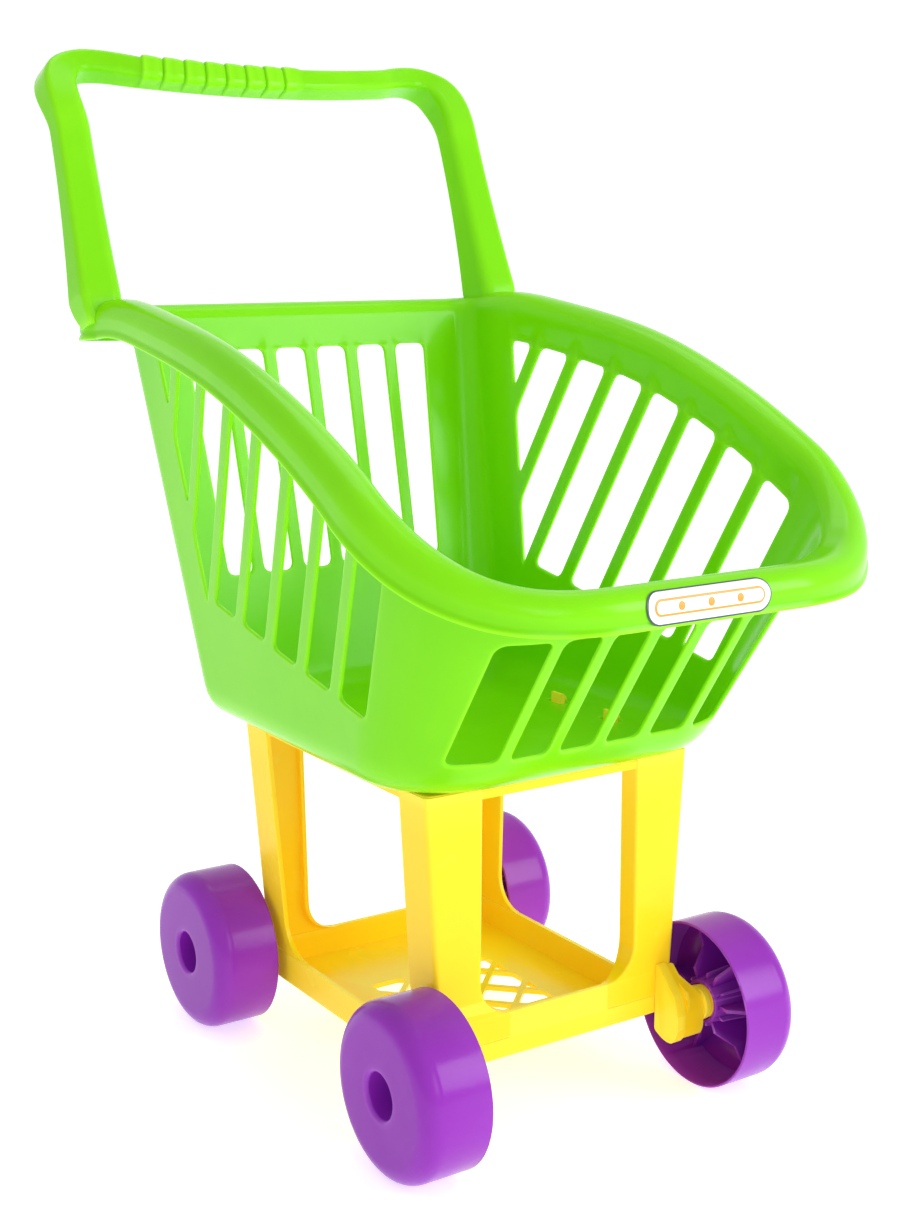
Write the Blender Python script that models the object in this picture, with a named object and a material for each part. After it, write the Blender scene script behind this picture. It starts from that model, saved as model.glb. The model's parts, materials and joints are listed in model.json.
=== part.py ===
"""Toy shopping cart: a moulded basket with a push handle on a wheeled base.

Units are metres.  +Z is up, -Y is the cart's nose, +Y its handle side.
The origin is on the ground, under the middle of the cart.
"""
import math

import bmesh
import bpy
from mathutils import Matrix, Vector

GAP = 0.0003                     # clearance between pieces that touch
SIDES = ((1, "left"), (-1, "right"))   # as the child who pushes the cart sees them

# Wheels and axles
WHEEL_RADIUS = 0.0425
WHEEL_INNER_X = 0.0754           # open side of the wheel, next to the bracket
WHEEL_OUTER_X = 0.1100
WHEEL_WALL = 0.0022
WHEEL_SHOULDER = 0.010           # rounding of the outer edge
WHEEL_SEGMENTS = 36
WHEEL_SPOKES = 6
HUB_RADIUS = 0.0125
HUB_INNER_X = 0.0822
HUB_WEB_X = 0.0940               # web between the axle socket and the outer recess
RECESS_RADIUS = 0.0110
AXLE_RADIUS = 0.0088
AXLE_TIP_X = 0.0932
AXLE_CLEARANCE = 0.0004
AXLE_Y = {"front": -0.1109, "rear": 0.0923}

# Base: a box of four channel-section legs under a top frame, tapering downwards
BASE_HALF_WIDTH = 0.0775
BASE_FRONT = -0.1005
BASE_REAR = 0.0805
BASE_TOP = 0.1750
BASE_TAPER = 0.060               # inward lean of the side faces, metres per metre
REAR_TAPER = 0.050
FRAME_HEIGHT = 0.0060
FRAME_WIDTH = 0.0090
LEG_WALL = 0.0025
LEG_FLANGE_TOP = 0.0315
LEG_FLANGE_FOOT = 0.0235
LEG_DEPTH = 0.0240
TRAY_BOTTOM = 0.0300
TRAY_WALL_TOP = 0.0470
TRAY_SILL = 0.0600                 # the front wall stands higher than the other three
SILL_HALF = 0.0455
SILL_CORNER = 0.0140               # its ends rise towards the legs
TRAY_CHIN = (0.0130, 0.0080)       # depth and height of the sloping underside below the front wall
TRAY_FLOOR = 0.0025
TRAY_WALL = 0.0025
LATTICE_PITCH = 0.0205
LATTICE_RIB = 0.0032
LATTICE_REACH = (0.0365, 0.0320)   # half width and half length of the lattice
BRACKET_INNER_X = 0.0600
BRACKET_OUTER_X = 0.0780
BRACKET_TOP = 0.0640
BRACKET_LOW = 0.0258
BRACKET_SHOULDER = ((0.0700, 0.0700), (0.0700, 0.0585), (0.0792, 0.0470), (0.0900, 0.0470), (0.0900, 0.0700))
HOOK_SPOTS = (-0.0435, 0.0025)   # where the frame's snap hooks pass the basket floor
HOOK_X = 0.0735
HOOK_TOP = 0.1835

# Basket
BASKET_FLOOR = BASE_TOP + GAP
BASKET_WALL = 0.0022
BASKET_FILLET = 0.020
RIM_RADIUS = 0.010
RIM_LIP = 0.0095                 # how far the outer lip hangs below the rim's centre
NOSE_LIP_CUT = 0.0020            # the lip is this much shorter across the nose
NOSE_DIP = 0.0022                # the inner half of the nose rim sits this much lower
SLOT_TOP_DROP = 0.0165           # slots stop this far below the rim's centre
RIM_HEIGHTS = ((-0.1985, 0.2755), (-0.1725, 0.2850), (-0.1225, 0.3184), (-0.0625, 0.3473),
               (-0.0025, 0.3669), (0.0775, 0.3805), (0.1175, 0.3835), (0.1570, 0.3785))
FLOOR_OUTLINE = {"half_rear": 0.0955, "half_front": 0.0970, "front": -0.1151, "rear": 0.0990,
                 "nose_wide": 0.048, "nose_long": 0.048, "round_rear": 0.020, "bulge": 0.0}
RIM_OUTLINE = {"half_rear": 0.1205, "half_front": 0.1270, "front": -0.1985, "rear": 0.1555,
               "nose_wide": 0.082, "nose_long": 0.072, "round_rear": 0.022, "bulge": 0.0030}
COLUMNS = (("rear", 3), ("corner_rear", 4), ("side", 9), ("corner_front", 7), ("front", 3))

# Handle
SOCKET_CENTRE = (0.1240, 0.1438)
SOCKET_SIZE = (0.0290, 0.0270)
SOCKET_BOTTOM = 0.3745
SOCKET_TOP = 0.3925
TONGUE_SIZE = (0.0160, 0.0100)
TONGUE_LENGTH = 0.0110
HANDLE_KNEE = (0.1228, 0.1762, 0.4810)        # the legs are straight up to here
HORN_LOW = (0.1223, 0.1852, 0.5054)           # the corners sweep up and back
HORN_HIGH = (0.1230, 0.2145, 0.5215)
BAR_REACH = 0.080                             # the crossbar is a gentle arc between the corners
BAR_MIDDLE = (0.1845, 0.5105)
BAR_RISE = (0.0090, 0.0036)
HANDLE_HALF_WIDE = (0.0136, 0.0112, 0.0072)   # leg foot, leg top, crossbar
HANDLE_HALF_DEEP = (0.0105, 0.0066, 0.0060)
HANDLE_FLARE = 0.14                           # the section is wider at the back
SECTION_FLATNESS = 0.62
GRIP_RIBS = 8
GRIP_START = -0.076
GRIP_PITCH = 0.0133
GRIP_DEPTH = 0.0010
GRIP_FOOT = 0.0030               # half length of a finger rib at its foot
GRIP_CREST = 0.0012

# Badge on the nose
BADGE_CENTRE_X = -0.006
BADGE_SIZE = (0.068, 0.0150)
BADGE_THICKNESS = 0.0008
BADGE_CLIMB = 0.0012             # its middle sits this far up round the rim

GREEN = (0.205, 0.720, 0.004, 1.0)
YELLOW = (1.000, 0.640, 0.016, 1.0)
PURPLE = (0.280, 0.060, 0.520, 1.0)
WHITE = (0.900, 0.900, 0.880, 1.0)


def clear_scene():
    for item in list(bpy.data.objects):
        bpy.data.objects.remove(item, do_unlink=True)


def plastic(name, colour, roughness=0.25):
    material = bpy.data.materials.new(name)
    material.use_nodes = True
    shader = material.node_tree.nodes["Principled BSDF"]
    shader.inputs["Base Color"].default_value = colour
    shader.inputs["Roughness"].default_value = roughness
    shader.inputs["Metallic"].default_value = 0.0
    return material


def add_object(name, builder, material=None, smooth_angle=None):
    """Turn a bmesh into a scene object; the bmesh is freed."""
    bmesh.ops.recalc_face_normals(builder, faces=builder.faces)
    mesh = bpy.data.meshes.new(name)
    builder.to_mesh(mesh)
    builder.free()
    if smooth_angle is not None:
        mesh.shade_smooth()
        mesh.set_sharp_from_angle(angle=math.radians(smooth_angle))
    if material is not None:
        mesh.materials.append(material)
    item = bpy.data.objects.new(name, mesh)
    bpy.context.scene.collection.objects.link(item)
    return item


def add_cutter(name, builder):
    cutter = add_object(name, builder)
    cutter.hide_render = True
    cutter.display_type = "WIRE"
    return cutter


def boolean(item, other, operation):
    modifier = item.modifiers.new(operation.title(), "BOOLEAN")
    modifier.operation = operation
    modifier.solver = "EXACT"
    modifier.object = other


def skin(builder, rings, closed_path=False, capped=True):
    """Join successive rings of points, each a closed loop, with quads."""
    loops = [[builder.verts.new(point) for point in ring] for ring in rings]
    count = len(loops[0])
    pairs = list(zip(loops, loops[1:]))
    if closed_path:
        pairs.append((loops[-1], loops[0]))
    for first, second in pairs:
        for k in range(count):
            n = (k + 1) % count
            builder.faces.new((first[k], first[n], second[n], second[k]))
    if capped and not closed_path:
        builder.faces.new(loops[0][::-1])
        builder.faces.new(loops[-1])
    return builder


def prism(builder, outline, low, high, axis):
    """Extrude a flat outline along an axis: its points are the other two coordinates."""
    def place(point, along):
        if axis == "x":
            return (along, point[0], point[1])
        if axis == "y":
            return (point[0], along, point[1])
        return (point[0], point[1], along)
    return skin(builder, [[place(p, low) for p in outline], [place(p, high) for p in outline]])


def box(builder, low, high):
    outline = ((low[0], low[1]), (high[0], low[1]), (high[0], high[1]), (low[0], high[1]))
    return prism(builder, outline, low[2], high[2], "z")


def rounded(points, radius, steps=3):
    """Round the corners of a flat polygon with short Bezier arcs."""
    result = []
    for index, corner in enumerate(points):
        corner = Vector(corner)
        before = Vector(points[index - 1]) - corner
        after = Vector(points[(index + 1) % len(points)]) - corner
        reach = min(radius, before.length * 0.45, after.length * 0.45)
        start = corner + before.normalized() * reach
        end = corner + after.normalized() * reach
        for step in range(steps + 1):
            t = step / steps
            result.append((1 - t) ** 2 * start + 2 * t * (1 - t) * corner + t * t * end)
    return result


def mirrored_x(points):
    return [(-x, z) for x, z in reversed(points)]


def hermite(knots, value):
    """Smooth curve through (position, height) knots."""
    last = len(knots) - 1
    value = min(max(value, knots[0][0]), knots[last][0])
    k = max(i for i in range(last) if knots[i][0] <= value)

    def slope(i):
        a, b = knots[max(i - 1, 0)], knots[min(i + 1, last)]
        return (b[1] - a[1]) / (b[0] - a[0])
    (x0, z0), (x1, z1) = knots[k], knots[k + 1]
    span = x1 - x0
    t = (value - x0) / span
    m0 = slope(k) * span if k > 0 else 0.0
    m1 = slope(k + 1) * span
    return ((2 * t ** 3 - 3 * t ** 2 + 1) * z0 + (t ** 3 - 2 * t ** 2 + t) * m0
            + (3 * t ** 2 - 2 * t ** 3) * z1 + (t ** 3 - t ** 2) * m1)


# ---------------------------------------------------------------- basket

def outline_point(shape, part, f):
    """Point and outward normal on the right half of a rounded plan outline."""
    wide_rear, wide_front = shape["half_rear"], shape["half_front"]
    nose_wide, nose_long, round_rear = shape["nose_wide"], shape["nose_long"], shape["round_rear"]
    if part == "rear":
        return Vector((f * (wide_rear - round_rear), shape["rear"])), Vector((0, 1))
    if part == "corner_rear":
        turn = math.radians(90 * (1 - f))
        normal = Vector((math.cos(turn), math.sin(turn)))
        return Vector((wide_rear - round_rear, shape["rear"] - round_rear)) + round_rear * normal, normal
    if part == "side":
        start = Vector((wide_rear, shape["rear"] - round_rear))
        end = Vector((wide_front, shape["front"] + nose_long))
        swell = Vector((shape["bulge"] * math.sin(math.pi * f), 0))
        return start.lerp(end, f) + swell, Vector((1, 0))
    if part == "corner_front":
        turn = math.radians(-90 * f)
        normal = Vector((math.cos(turn), math.sin(turn)))
        centre = Vector((wide_front - nose_wide, shape["front"] + nose_long))
        return centre + Vector((nose_wide * normal.x, nose_long * normal.y)), normal
    return Vector(((1 - f) * (wide_front - nose_wide), shape["front"])), Vector((0, -1))


def basket_columns():
    """Floor point, rim point and outward normal of every column round the basket."""
    half = []
    for part, count in COLUMNS:
        for step in range(count):
            half.append((part, step / count))
    half.append(("front", 1.0))
    right = []
    for part, f in half:
        floor, normal = outline_point(FLOOR_OUTLINE, part, f)
        rim, _ = outline_point(RIM_OUTLINE, part, f)
        right.append((floor, rim, normal))
    left = [(Vector((-a.x, a.y)), Vector((-b.x, b.y)), Vector((-n.x, n.y)))
            for a, b, n in reversed(right[1:-1])]
    return right + left


def basket_profile(reach, height, inner_reach, lip, dip):
    """Wall and rim section as (outward, up) points, from the floor's inside to its outside."""
    wall, roll = BASKET_WALL, RIM_RADIUS
    inside = reach - inner_reach
    lean = Vector((inside + wall, height)).normalized()
    inner_corner = Vector((-wall * 0.8, wall))
    inner_top = Vector((inside, height - dip))
    outer_top = Vector((inside + wall, height - dip))

    def fillet(corner):
        start = corner + Vector((-BASKET_FILLET * 0.8, 0))
        end = corner + lean * BASKET_FILLET * 0.8
        return [(1 - t) ** 2 * start + 2 * t * (1 - t) * corner + t * t * end for t in (0, 1/3, 2/3, 1)]

    def arc(centre, radius, start, end, steps):
        turns = [math.radians(start + (end - start) * k / steps) for k in range(steps + 1)]
        return [centre + radius * Vector((math.cos(a), math.sin(a))) for a in turns]

    inner_roll = Vector((inside + roll, height - dip))
    outer_roll = Vector((reach, height))
    path = fillet(inner_corner)
    path += [inner_corner.lerp(inner_top, 0.6)]
    path += arc(inner_roll, roll, 180, 90, 2)
    path += arc(outer_roll, roll, 90, 0, 3)[(0 if inner_reach > roll * 1.05 else 1):]
    path += [Vector((reach + roll, height - lip)), Vector((reach + roll - wall, height - lip))]
    path += arc(outer_roll, roll - wall, 0, 90, 2)
    path += arc(inner_roll, roll - wall, 90, 180, 2)[(0 if inner_reach > roll * 1.05 else 1):]
    path += [Vector((0, 0)).lerp(outer_top, 0.6)]
    path += fillet(Vector((0, 0)))[::-1]
    return path


def basket_shell():
    builder = bmesh.new()
    columns = []
    for floor, rim, normal in basket_columns():
        tangent = Vector((-normal.y, normal.x))
        height = hermite(RIM_HEIGHTS, rim.y) - BASKET_FLOOR
        offset = rim - floor
        forward = max(0.0, -normal.y)
        inner_reach = RIM_RADIUS * (1.06 + 0.85 * forward ** 2)
        lip = RIM_LIP - NOSE_LIP_CUT * forward
        ring = []
        for out, up in basket_profile(offset.dot(normal), height, inner_reach, lip, NOSE_DIP * forward ** 2):
            shear = offset.dot(tangent) * max(0.0, up) / height
            plan = floor + normal * out + tangent * shear
            ring.append(builder.verts.new((plan.x, plan.y, BASKET_FLOOR + up)))
        columns.append(ring)
    for first, second in zip(columns, columns[1:] + columns[:1]):
        for k in range(len(first) - 1):
            builder.faces.new((first[k], second[k], second[k + 1], first[k + 1]))
    builder.faces.new([ring[0] for ring in columns])
    builder.faces.new([ring[-1] for ring in columns][::-1])
    return builder


SIDE_SLOTS = 8
SIDE_PITCH = 0.0349
SIDE_SLOT = 0.0252
SIDE_LEAN = -0.477               # the ribs lean towards the nose as they rise
SIDE_FIRST = 0.1670              # rear edge of the first slot at the slots' foot
SIDE_FOOT = 0.2410
REAR_LEAN = 0.227


def side_slots():
    """Leaning slots in both side walls, clipped by a line parallel to the rear wall."""
    builder = bmesh.new()
    for index in range(SIDE_SLOTS):
        edge = SIDE_FIRST - SIDE_PITCH * index
        corners = []
        for start in (edge, edge - SIDE_SLOT):
            foot = SIDE_FOOT - 0.17 * max(0.0, 0.0607 - start)
            top = SIDE_FOOT
            for _ in range(12):
                top = hermite(RIM_HEIGHTS, start + SIDE_LEAN * (top - SIDE_FOOT)) - SLOT_TOP_DROP
            corners.append((start + SIDE_LEAN * (foot - SIDE_FOOT), foot))
            corners.append((start + SIDE_LEAN * (top - SIDE_FOOT), top))
        rear_foot, rear_top, front_foot, front_top = corners
        outline = clip_rear([rear_foot, front_foot, front_top, rear_top])
        if len(outline) > 2:
            prism(builder, rounded(outline, 0.0045, 2), -0.17, 0.17, "x")
    return builder


def clip_rear(points):
    """Keep the part of a (y, z) polygon in front of the rear corner post."""
    def depth(p):
        return p[0] - (0.1005 + REAR_LEAN * (p[1] - 0.364))
    result = []
    for a, b in zip(points, points[1:] + points[:1]):
        da, db = depth(a), depth(b)
        if da <= 0:
            result.append(a)
        if (da < 0) != (db < 0):
            t = da / (da - db)
            result.append((a[0] + (b[0] - a[0]) * t, a[1] + (b[1] - a[1]) * t))
    return result


def end_slots(spans, foot, top, low, high):
    """Upright slots in the front or rear wall, mirrored left and right."""
    builder = bmesh.new()
    for (foot_in, foot_out), (top_in, top_out) in spans:
        outline = rounded([(foot_in, foot), (foot_out, foot), (top_out, top), (top_in, top)], 0.0045, 2)
        prism(builder, outline, low, high, "y")
        prism(builder, mirrored_x(outline), low, high, "y")
    return builder


REAR_SPANS = (((0.0036, 0.0210), (0.0038, 0.0224)), ((0.0284, 0.0462), (0.0300, 0.0484)),
              ((0.0530, 0.0680), (0.0560, 0.0758)))
FRONT_SPANS = (((0.0032, 0.0231), (0.0032, 0.0231)), ((0.0295, 0.0502), (0.0295, 0.0502)),
               ((0.0560, 0.0790), (0.0556, 0.0800)))


def socket_block(side):
    """Block under each rear corner of the rim, which the handle plugs into."""
    builder = bmesh.new()
    x, y = SOCKET_CENTRE[0] * side, SOCKET_CENTRE[1]
    half_x, half_y = SOCKET_SIZE[0] / 2, SOCKET_SIZE[1] / 2
    corners = [(x - half_x, y - half_y), (x + half_x, y - half_y),
               (x + half_x, y + half_y), (x - half_x, y + half_y)]
    return prism(builder, rounded(corners, 0.008, 3), SOCKET_BOTTOM, SOCKET_TOP, "z")


def socket_pocket(side):
    builder = bmesh.new()
    x, y = SOCKET_CENTRE[0] * side, SOCKET_CENTRE[1]
    half_x, half_y = TONGUE_SIZE[0] / 2 + GAP, TONGUE_SIZE[1] / 2 + GAP
    return box(builder, (x - half_x, y - half_y, SOCKET_TOP - TONGUE_LENGTH - 0.0005),
               (x + half_x, y + half_y, SOCKET_TOP + 0.010))


def make_basket(material):
    basket = add_object("basket", basket_shell(), material, 35)
    for side, name in SIDES:
        boolean(basket, add_cutter("socket_block_" + name, socket_block(side)), "UNION")
        boolean(basket, add_cutter("socket_pocket_" + name, socket_pocket(side)), "DIFFERENCE")
    boolean(basket, add_cutter("side_slot_cutter", side_slots()), "DIFFERENCE")
    rear = end_slots(REAR_SPANS, 0.2435, 0.3640, 0.0900, 0.1900)
    boolean(basket, add_cutter("rear_slot_cutter", rear), "DIFFERENCE")
    front = end_slots(FRONT_SPANS, 0.1950, 0.2580, -0.1950, -0.0850)
    boolean(basket, add_cutter("front_slot_cutter", front), "DIFFERENCE")
    holes = bmesh.new()
    for y in HOOK_SPOTS:
        for side in (-1, 1):
            box(holes, (side * HOOK_X - 0.0030, y - 0.0060, BASKET_FLOOR - 0.005),
                (side * HOOK_X + 0.0030, y + 0.0060, BASKET_FLOOR + 0.008))
    boolean(basket, add_cutter("hook_hole_cutter", holes), "DIFFERENCE")
    return basket


# ---------------------------------------------------------------- handle

def bar_point(x):
    """Point of the crossbar's centre line at a distance from the middle."""
    share = (x / BAR_REACH) ** 2
    return Vector((x, BAR_MIDDLE[0] + BAR_RISE[0] * share, BAR_MIDDLE[1] + BAR_RISE[1] * share))


def handle_path():
    """Centre line of the U-shaped handle as (point, swelling of the section) pairs."""
    foot = Vector((*SOCKET_CENTRE, SOCKET_TOP + GAP))
    knee, low, high, end = Vector(HANDLE_KNEE), Vector(HORN_LOW), Vector(HORN_HIGH), bar_point(BAR_REACH)
    right = [foot, foot.lerp(knee, 0.5)]
    for step in range(9):
        t = step / 8
        right.append((1 - t) ** 3 * knee + 3 * t * (1 - t) ** 2 * low + 3 * t * t * (1 - t) * high + t ** 3 * end)
    right.append(bar_point(BAR_REACH * 0.6))
    left = [Vector((-p.x, p.y, p.z)) for p in reversed(right[:-1])]
    grip = []
    for index in reversed(range(GRIP_RIBS)):
        x = GRIP_START + GRIP_PITCH * index
        for shift, swelling in ((GRIP_FOOT, 0), (GRIP_CREST, 1), (-GRIP_CREST, 1), (-GRIP_FOOT, 0)):
            grip.append((bar_point(x + shift), GRIP_DEPTH * swelling))
    return [(p, 0.0) for p in right] + grip + [(p, 0.0) for p in left]


def handle_section(centre, along, side_axis, half_wide, half_deep):
    """Rounded trapezoid across the path: side_axis lies in the plane of the U."""
    deep_axis = along.cross(side_axis).normalized()
    ring = []
    for k in range(12):
        turn = 2 * math.pi * (k + 0.5) / 12
        c, s = math.cos(turn), math.sin(turn)
        wide = half_wide * math.copysign(abs(c) ** SECTION_FLATNESS, c)
        deep = half_deep * math.copysign(abs(s) ** SECTION_FLATNESS, s)
        wide *= 1 + HANDLE_FLARE * deep / half_deep
        ring.append(centre + side_axis * wide + deep_axis * deep)
    return ring


def make_handle(material):
    builder = bmesh.new()
    path = handle_path()
    base_z, top_z = path[0][0].z, HANDLE_KNEE[2]
    plane_normal = Vector((0, top_z - base_z, SOCKET_CENTRE[1] - HANDLE_KNEE[1])).normalized()
    last = len(path) - 1
    rings = []
    for index, (point, swelling) in enumerate(path):
        along = Vector((0, 0, 1 if index == 0 else -1))
        if 0 < index < last:
            along = ((path[index + 1][0] - point).normalized() + (point - path[index - 1][0]).normalized()).normalized()
        side_axis = plane_normal.cross(along).normalized()
        above = max(0.0, 1 - (point.z - base_z) / (top_z - base_z)) ** 2
        level = along.x ** 2
        sizes = []
        for foot, top, bar in (HANDLE_HALF_WIDE, HANDLE_HALF_DEEP):
            leg = top + (foot - top) * above
            sizes.append(leg + (bar - leg) * level + swelling)
        rings.append(handle_section(point, along, side_axis, *sizes))
    skin(builder, rings)
    handle = add_object("handle", builder, material, 50)
    for side, name in SIDES:
        tongue = bmesh.new()
        x, y = SOCKET_CENTRE[0] * side, SOCKET_CENTRE[1]
        half_x, half_y = TONGUE_SIZE[0] / 2, TONGUE_SIZE[1] / 2
        box(tongue, (x - half_x, y - half_y, SOCKET_TOP - TONGUE_LENGTH),
            (x + half_x, y + half_y, SOCKET_TOP + 0.006))
        boolean(handle, add_cutter("tongue_" + name, tongue), "UNION")
    return handle


# ---------------------------------------------------------------- base

def base_half_width(z):
    return BASE_HALF_WIDTH - BASE_TAPER * (BASE_TOP - z)


def base_end(z, end):
    if end == "front":
        return BASE_FRONT
    return BASE_REAR - REAR_TAPER * (BASE_TOP - z)


def make_top_frame(material):
    """Open rectangular frame under the basket, with four snap hooks."""
    z_low = BASE_TOP - FRAME_HEIGHT
    outer = [(-BASE_HALF_WIDTH, BASE_FRONT), (BASE_HALF_WIDTH, BASE_FRONT),
             (BASE_HALF_WIDTH, BASE_REAR), (-BASE_HALF_WIDTH, BASE_REAR)]
    inner = [(x - math.copysign(FRAME_WIDTH, x), y - math.copysign(FRAME_WIDTH, y)) for x, y in outer]
    builder = bmesh.new()
    rings = [[(x, y, z) for x, y in loop] for loop, z in
             ((outer, z_low), (outer, BASE_TOP), (inner, BASE_TOP), (inner, z_low))]
    skin(builder, rings, closed_path=True)
    frame = add_object("top_frame", builder, material)
    hooks = bmesh.new()
    for y in HOOK_SPOTS:
        for side in (-1, 1):
            x = HOOK_X * side
            outline = [(x - 0.0012 * side, BASE_TOP - 0.003), (x + 0.0012 * side, BASE_TOP - 0.003),
                       (x + 0.0012 * side, HOOK_TOP - 0.0035), (x + 0.0026 * side, HOOK_TOP - 0.0030),
                       (x + 0.0006 * side, HOOK_TOP), (x - 0.0012 * side, HOOK_TOP)]
            prism(hooks, outline, y - 0.0045, y + 0.0045, "y")
    boolean(frame, add_cutter("frame_hooks", hooks), "UNION")
    return frame


def leg_ring(z, side, end):
    """Channel section of one leg at height z: end flange, outer flange and inner web."""
    toward = -1 if end == "front" else 1
    rise = (z - TRAY_WALL_TOP) / (BASE_TOP - TRAY_WALL_TOP)
    flange = LEG_FLANGE_FOOT + (LEG_FLANGE_TOP - LEG_FLANGE_FOOT) * rise
    outer_x = base_half_width(z)
    inner_x = outer_x - flange
    face_y = base_end(z, end)
    back_y = face_y - toward * LEG_DEPTH
    wall_y = face_y - toward * LEG_WALL
    points = [(outer_x, face_y), (outer_x, back_y), (outer_x - LEG_WALL, back_y), (outer_x - LEG_WALL, wall_y),
              (inner_x + LEG_WALL, wall_y), (inner_x + LEG_WALL, back_y), (inner_x, back_y), (inner_x, face_y)]
    return [(x * side, y, z) for x, y in points]


def make_leg(name, side, end, material):
    builder = bmesh.new()
    low, high = TRAY_WALL_TOP + GAP, BASE_TOP - FRAME_HEIGHT - GAP
    skin(builder, [leg_ring(low, side, end), leg_ring(high, side, end)])
    return add_object(name, builder, material)


def make_tray(material):
    """Shallow tray between the legs, with a diagonal lattice floor."""
    builder = bmesh.new()
    chin, chin_height = TRAY_CHIN
    slope_top = TRAY_BOTTOM + chin_height
    rings = []
    for inset, back, z in ((0.0, chin, TRAY_BOTTOM), (0.0, 0.0, slope_top), (0.0, 0.0, TRAY_WALL_TOP),
                           (TRAY_WALL, 0.0, TRAY_WALL_TOP), (TRAY_WALL, 0.0, slope_top + TRAY_FLOOR),
                           (TRAY_WALL, chin, TRAY_BOTTOM + TRAY_FLOOR)):
        x = base_half_width(z) - inset
        front, rear = base_end(z, "front") + inset + back, base_end(z, "rear") - inset
        corners = [(-x, front), (x, front), (x, rear), (-x, rear)]
        rings.append([(p[0], p[1], z) for p in rounded(corners, 0.012 - inset, 2)])
    skin(builder, rings)
    tray = add_object("tray", builder, material)
    sill = [(-SILL_HALF, TRAY_WALL_TOP - 0.003), (SILL_HALF, TRAY_WALL_TOP - 0.003),
            (SILL_HALF, TRAY_SILL + SILL_CORNER * 0.6), (SILL_HALF - SILL_CORNER * 0.4, TRAY_SILL + SILL_CORNER * 0.2),
            (SILL_HALF - SILL_CORNER, TRAY_SILL), (SILL_CORNER - SILL_HALF, TRAY_SILL),
            (SILL_CORNER * 0.4 - SILL_HALF, TRAY_SILL + SILL_CORNER * 0.2), (-SILL_HALF, TRAY_SILL + SILL_CORNER * 0.6)]
    wall = prism(bmesh.new(), sill, BASE_FRONT + 0.0001, BASE_FRONT + TRAY_WALL + 0.0001, "y")
    boolean(tray, add_cutter("sill_of_tray", wall), "UNION")
    boolean(tray, add_cutter("lattice_cutter", lattice_holes()), "DIFFERENCE")
    return tray


def clipped(outline, limits):
    """Keep the part of a convex outline inside the given half planes (normal x, normal y, reach)."""
    for nx, ny, reach in limits:
        kept = []
        for i, (x, y) in enumerate(outline):
            px, py = outline[i - 1]
            before, here = px * nx + py * ny - reach, x * nx + y * ny - reach
            if before * here < 0:
                share = before / (before - here)
                kept.append((px + (x - px) * share, py + (y - py) * share))
            if here <= 0:
                kept.append((x, y))
        outline = kept
    return outline


def lattice_holes():
    """Square holes of the floor lattice, turned to run along the diagonals and cut off at its border."""
    builder = bmesh.new()
    hole = (LATTICE_PITCH - LATTICE_RIB) / 2
    middle = (BASE_FRONT + base_end(TRAY_BOTTOM, "rear")) / 2
    limits = [(1, 0, LATTICE_REACH[0]), (-1, 0, LATTICE_REACH[0]),
              (0, 1, middle + LATTICE_REACH[1]), (0, -1, LATTICE_REACH[1] - middle)]
    reach = hole * math.sqrt(2)
    for i in range(-4, 5):
        for j in range(-4, 5):
            x = (i - j) * LATTICE_PITCH / math.sqrt(2)
            y = middle + (i + j) * LATTICE_PITCH / math.sqrt(2)
            outline = clipped([(x - reach, y), (x, y - reach), (x + reach, y), (x, y + reach)], limits)
            if len(outline) > 2:
                prism(builder, outline, TRAY_BOTTOM - 0.002, TRAY_BOTTOM + TRAY_FLOOR + 0.002, "z")
    return builder


def make_bracket(name, side, end, material):
    """Axle bracket below a leg: a thick block with a blunt nose round the axle."""
    axle_y = AXLE_Y[end]
    toward = -1 if end == "front" else 1
    wall = base_end(BRACKET_TOP, end) + toward * GAP
    outline = [(wall, BRACKET_TOP), (wall, BRACKET_LOW + 0.0032),
               (axle_y - toward * 0.0030, BRACKET_LOW), (axle_y + toward * 0.0040, BRACKET_LOW),
               (axle_y + toward * 0.0078, WHEEL_RADIUS - 0.0110), (axle_y + toward * 0.0081, WHEEL_RADIUS - 0.0010),
               (axle_y + toward * 0.0055, WHEEL_RADIUS + 0.0085), (wall + toward * 0.0018, BRACKET_TOP)]
    builder = bmesh.new()
    prism(builder, outline, side * BRACKET_INNER_X, side * BRACKET_OUTER_X, "x")
    bracket = add_object(name, builder, material)
    shoulder = [(side * x, z) for x, z in BRACKET_SHOULDER]
    cutter = prism(bmesh.new(), shoulder, axle_y - 0.040, axle_y + 0.040, "y")
    boolean(bracket, add_cutter("shoulder_of_" + name, cutter), "DIFFERENCE")
    return bracket


def make_stub_axle(name, side, end, material):
    """Short round axle that the wheel turns on, with a chamfered tip."""
    start = BRACKET_OUTER_X + GAP
    builder = bmesh.new()
    rings = []
    for x, radius in ((start, AXLE_RADIUS), (AXLE_TIP_X - 0.002, AXLE_RADIUS), (AXLE_TIP_X, AXLE_RADIUS - 0.002)):
        rings.append([(side * x, radius * math.cos(2 * math.pi * k / 24), radius * math.sin(2 * math.pi * k / 24))
                      for k in range(24)])
    skin(builder, rings)
    axle = add_object(name, builder, material, 40)
    axle.location = (0, AXLE_Y[end], WHEEL_RADIUS)
    return axle


# ---------------------------------------------------------------- wheels

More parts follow.
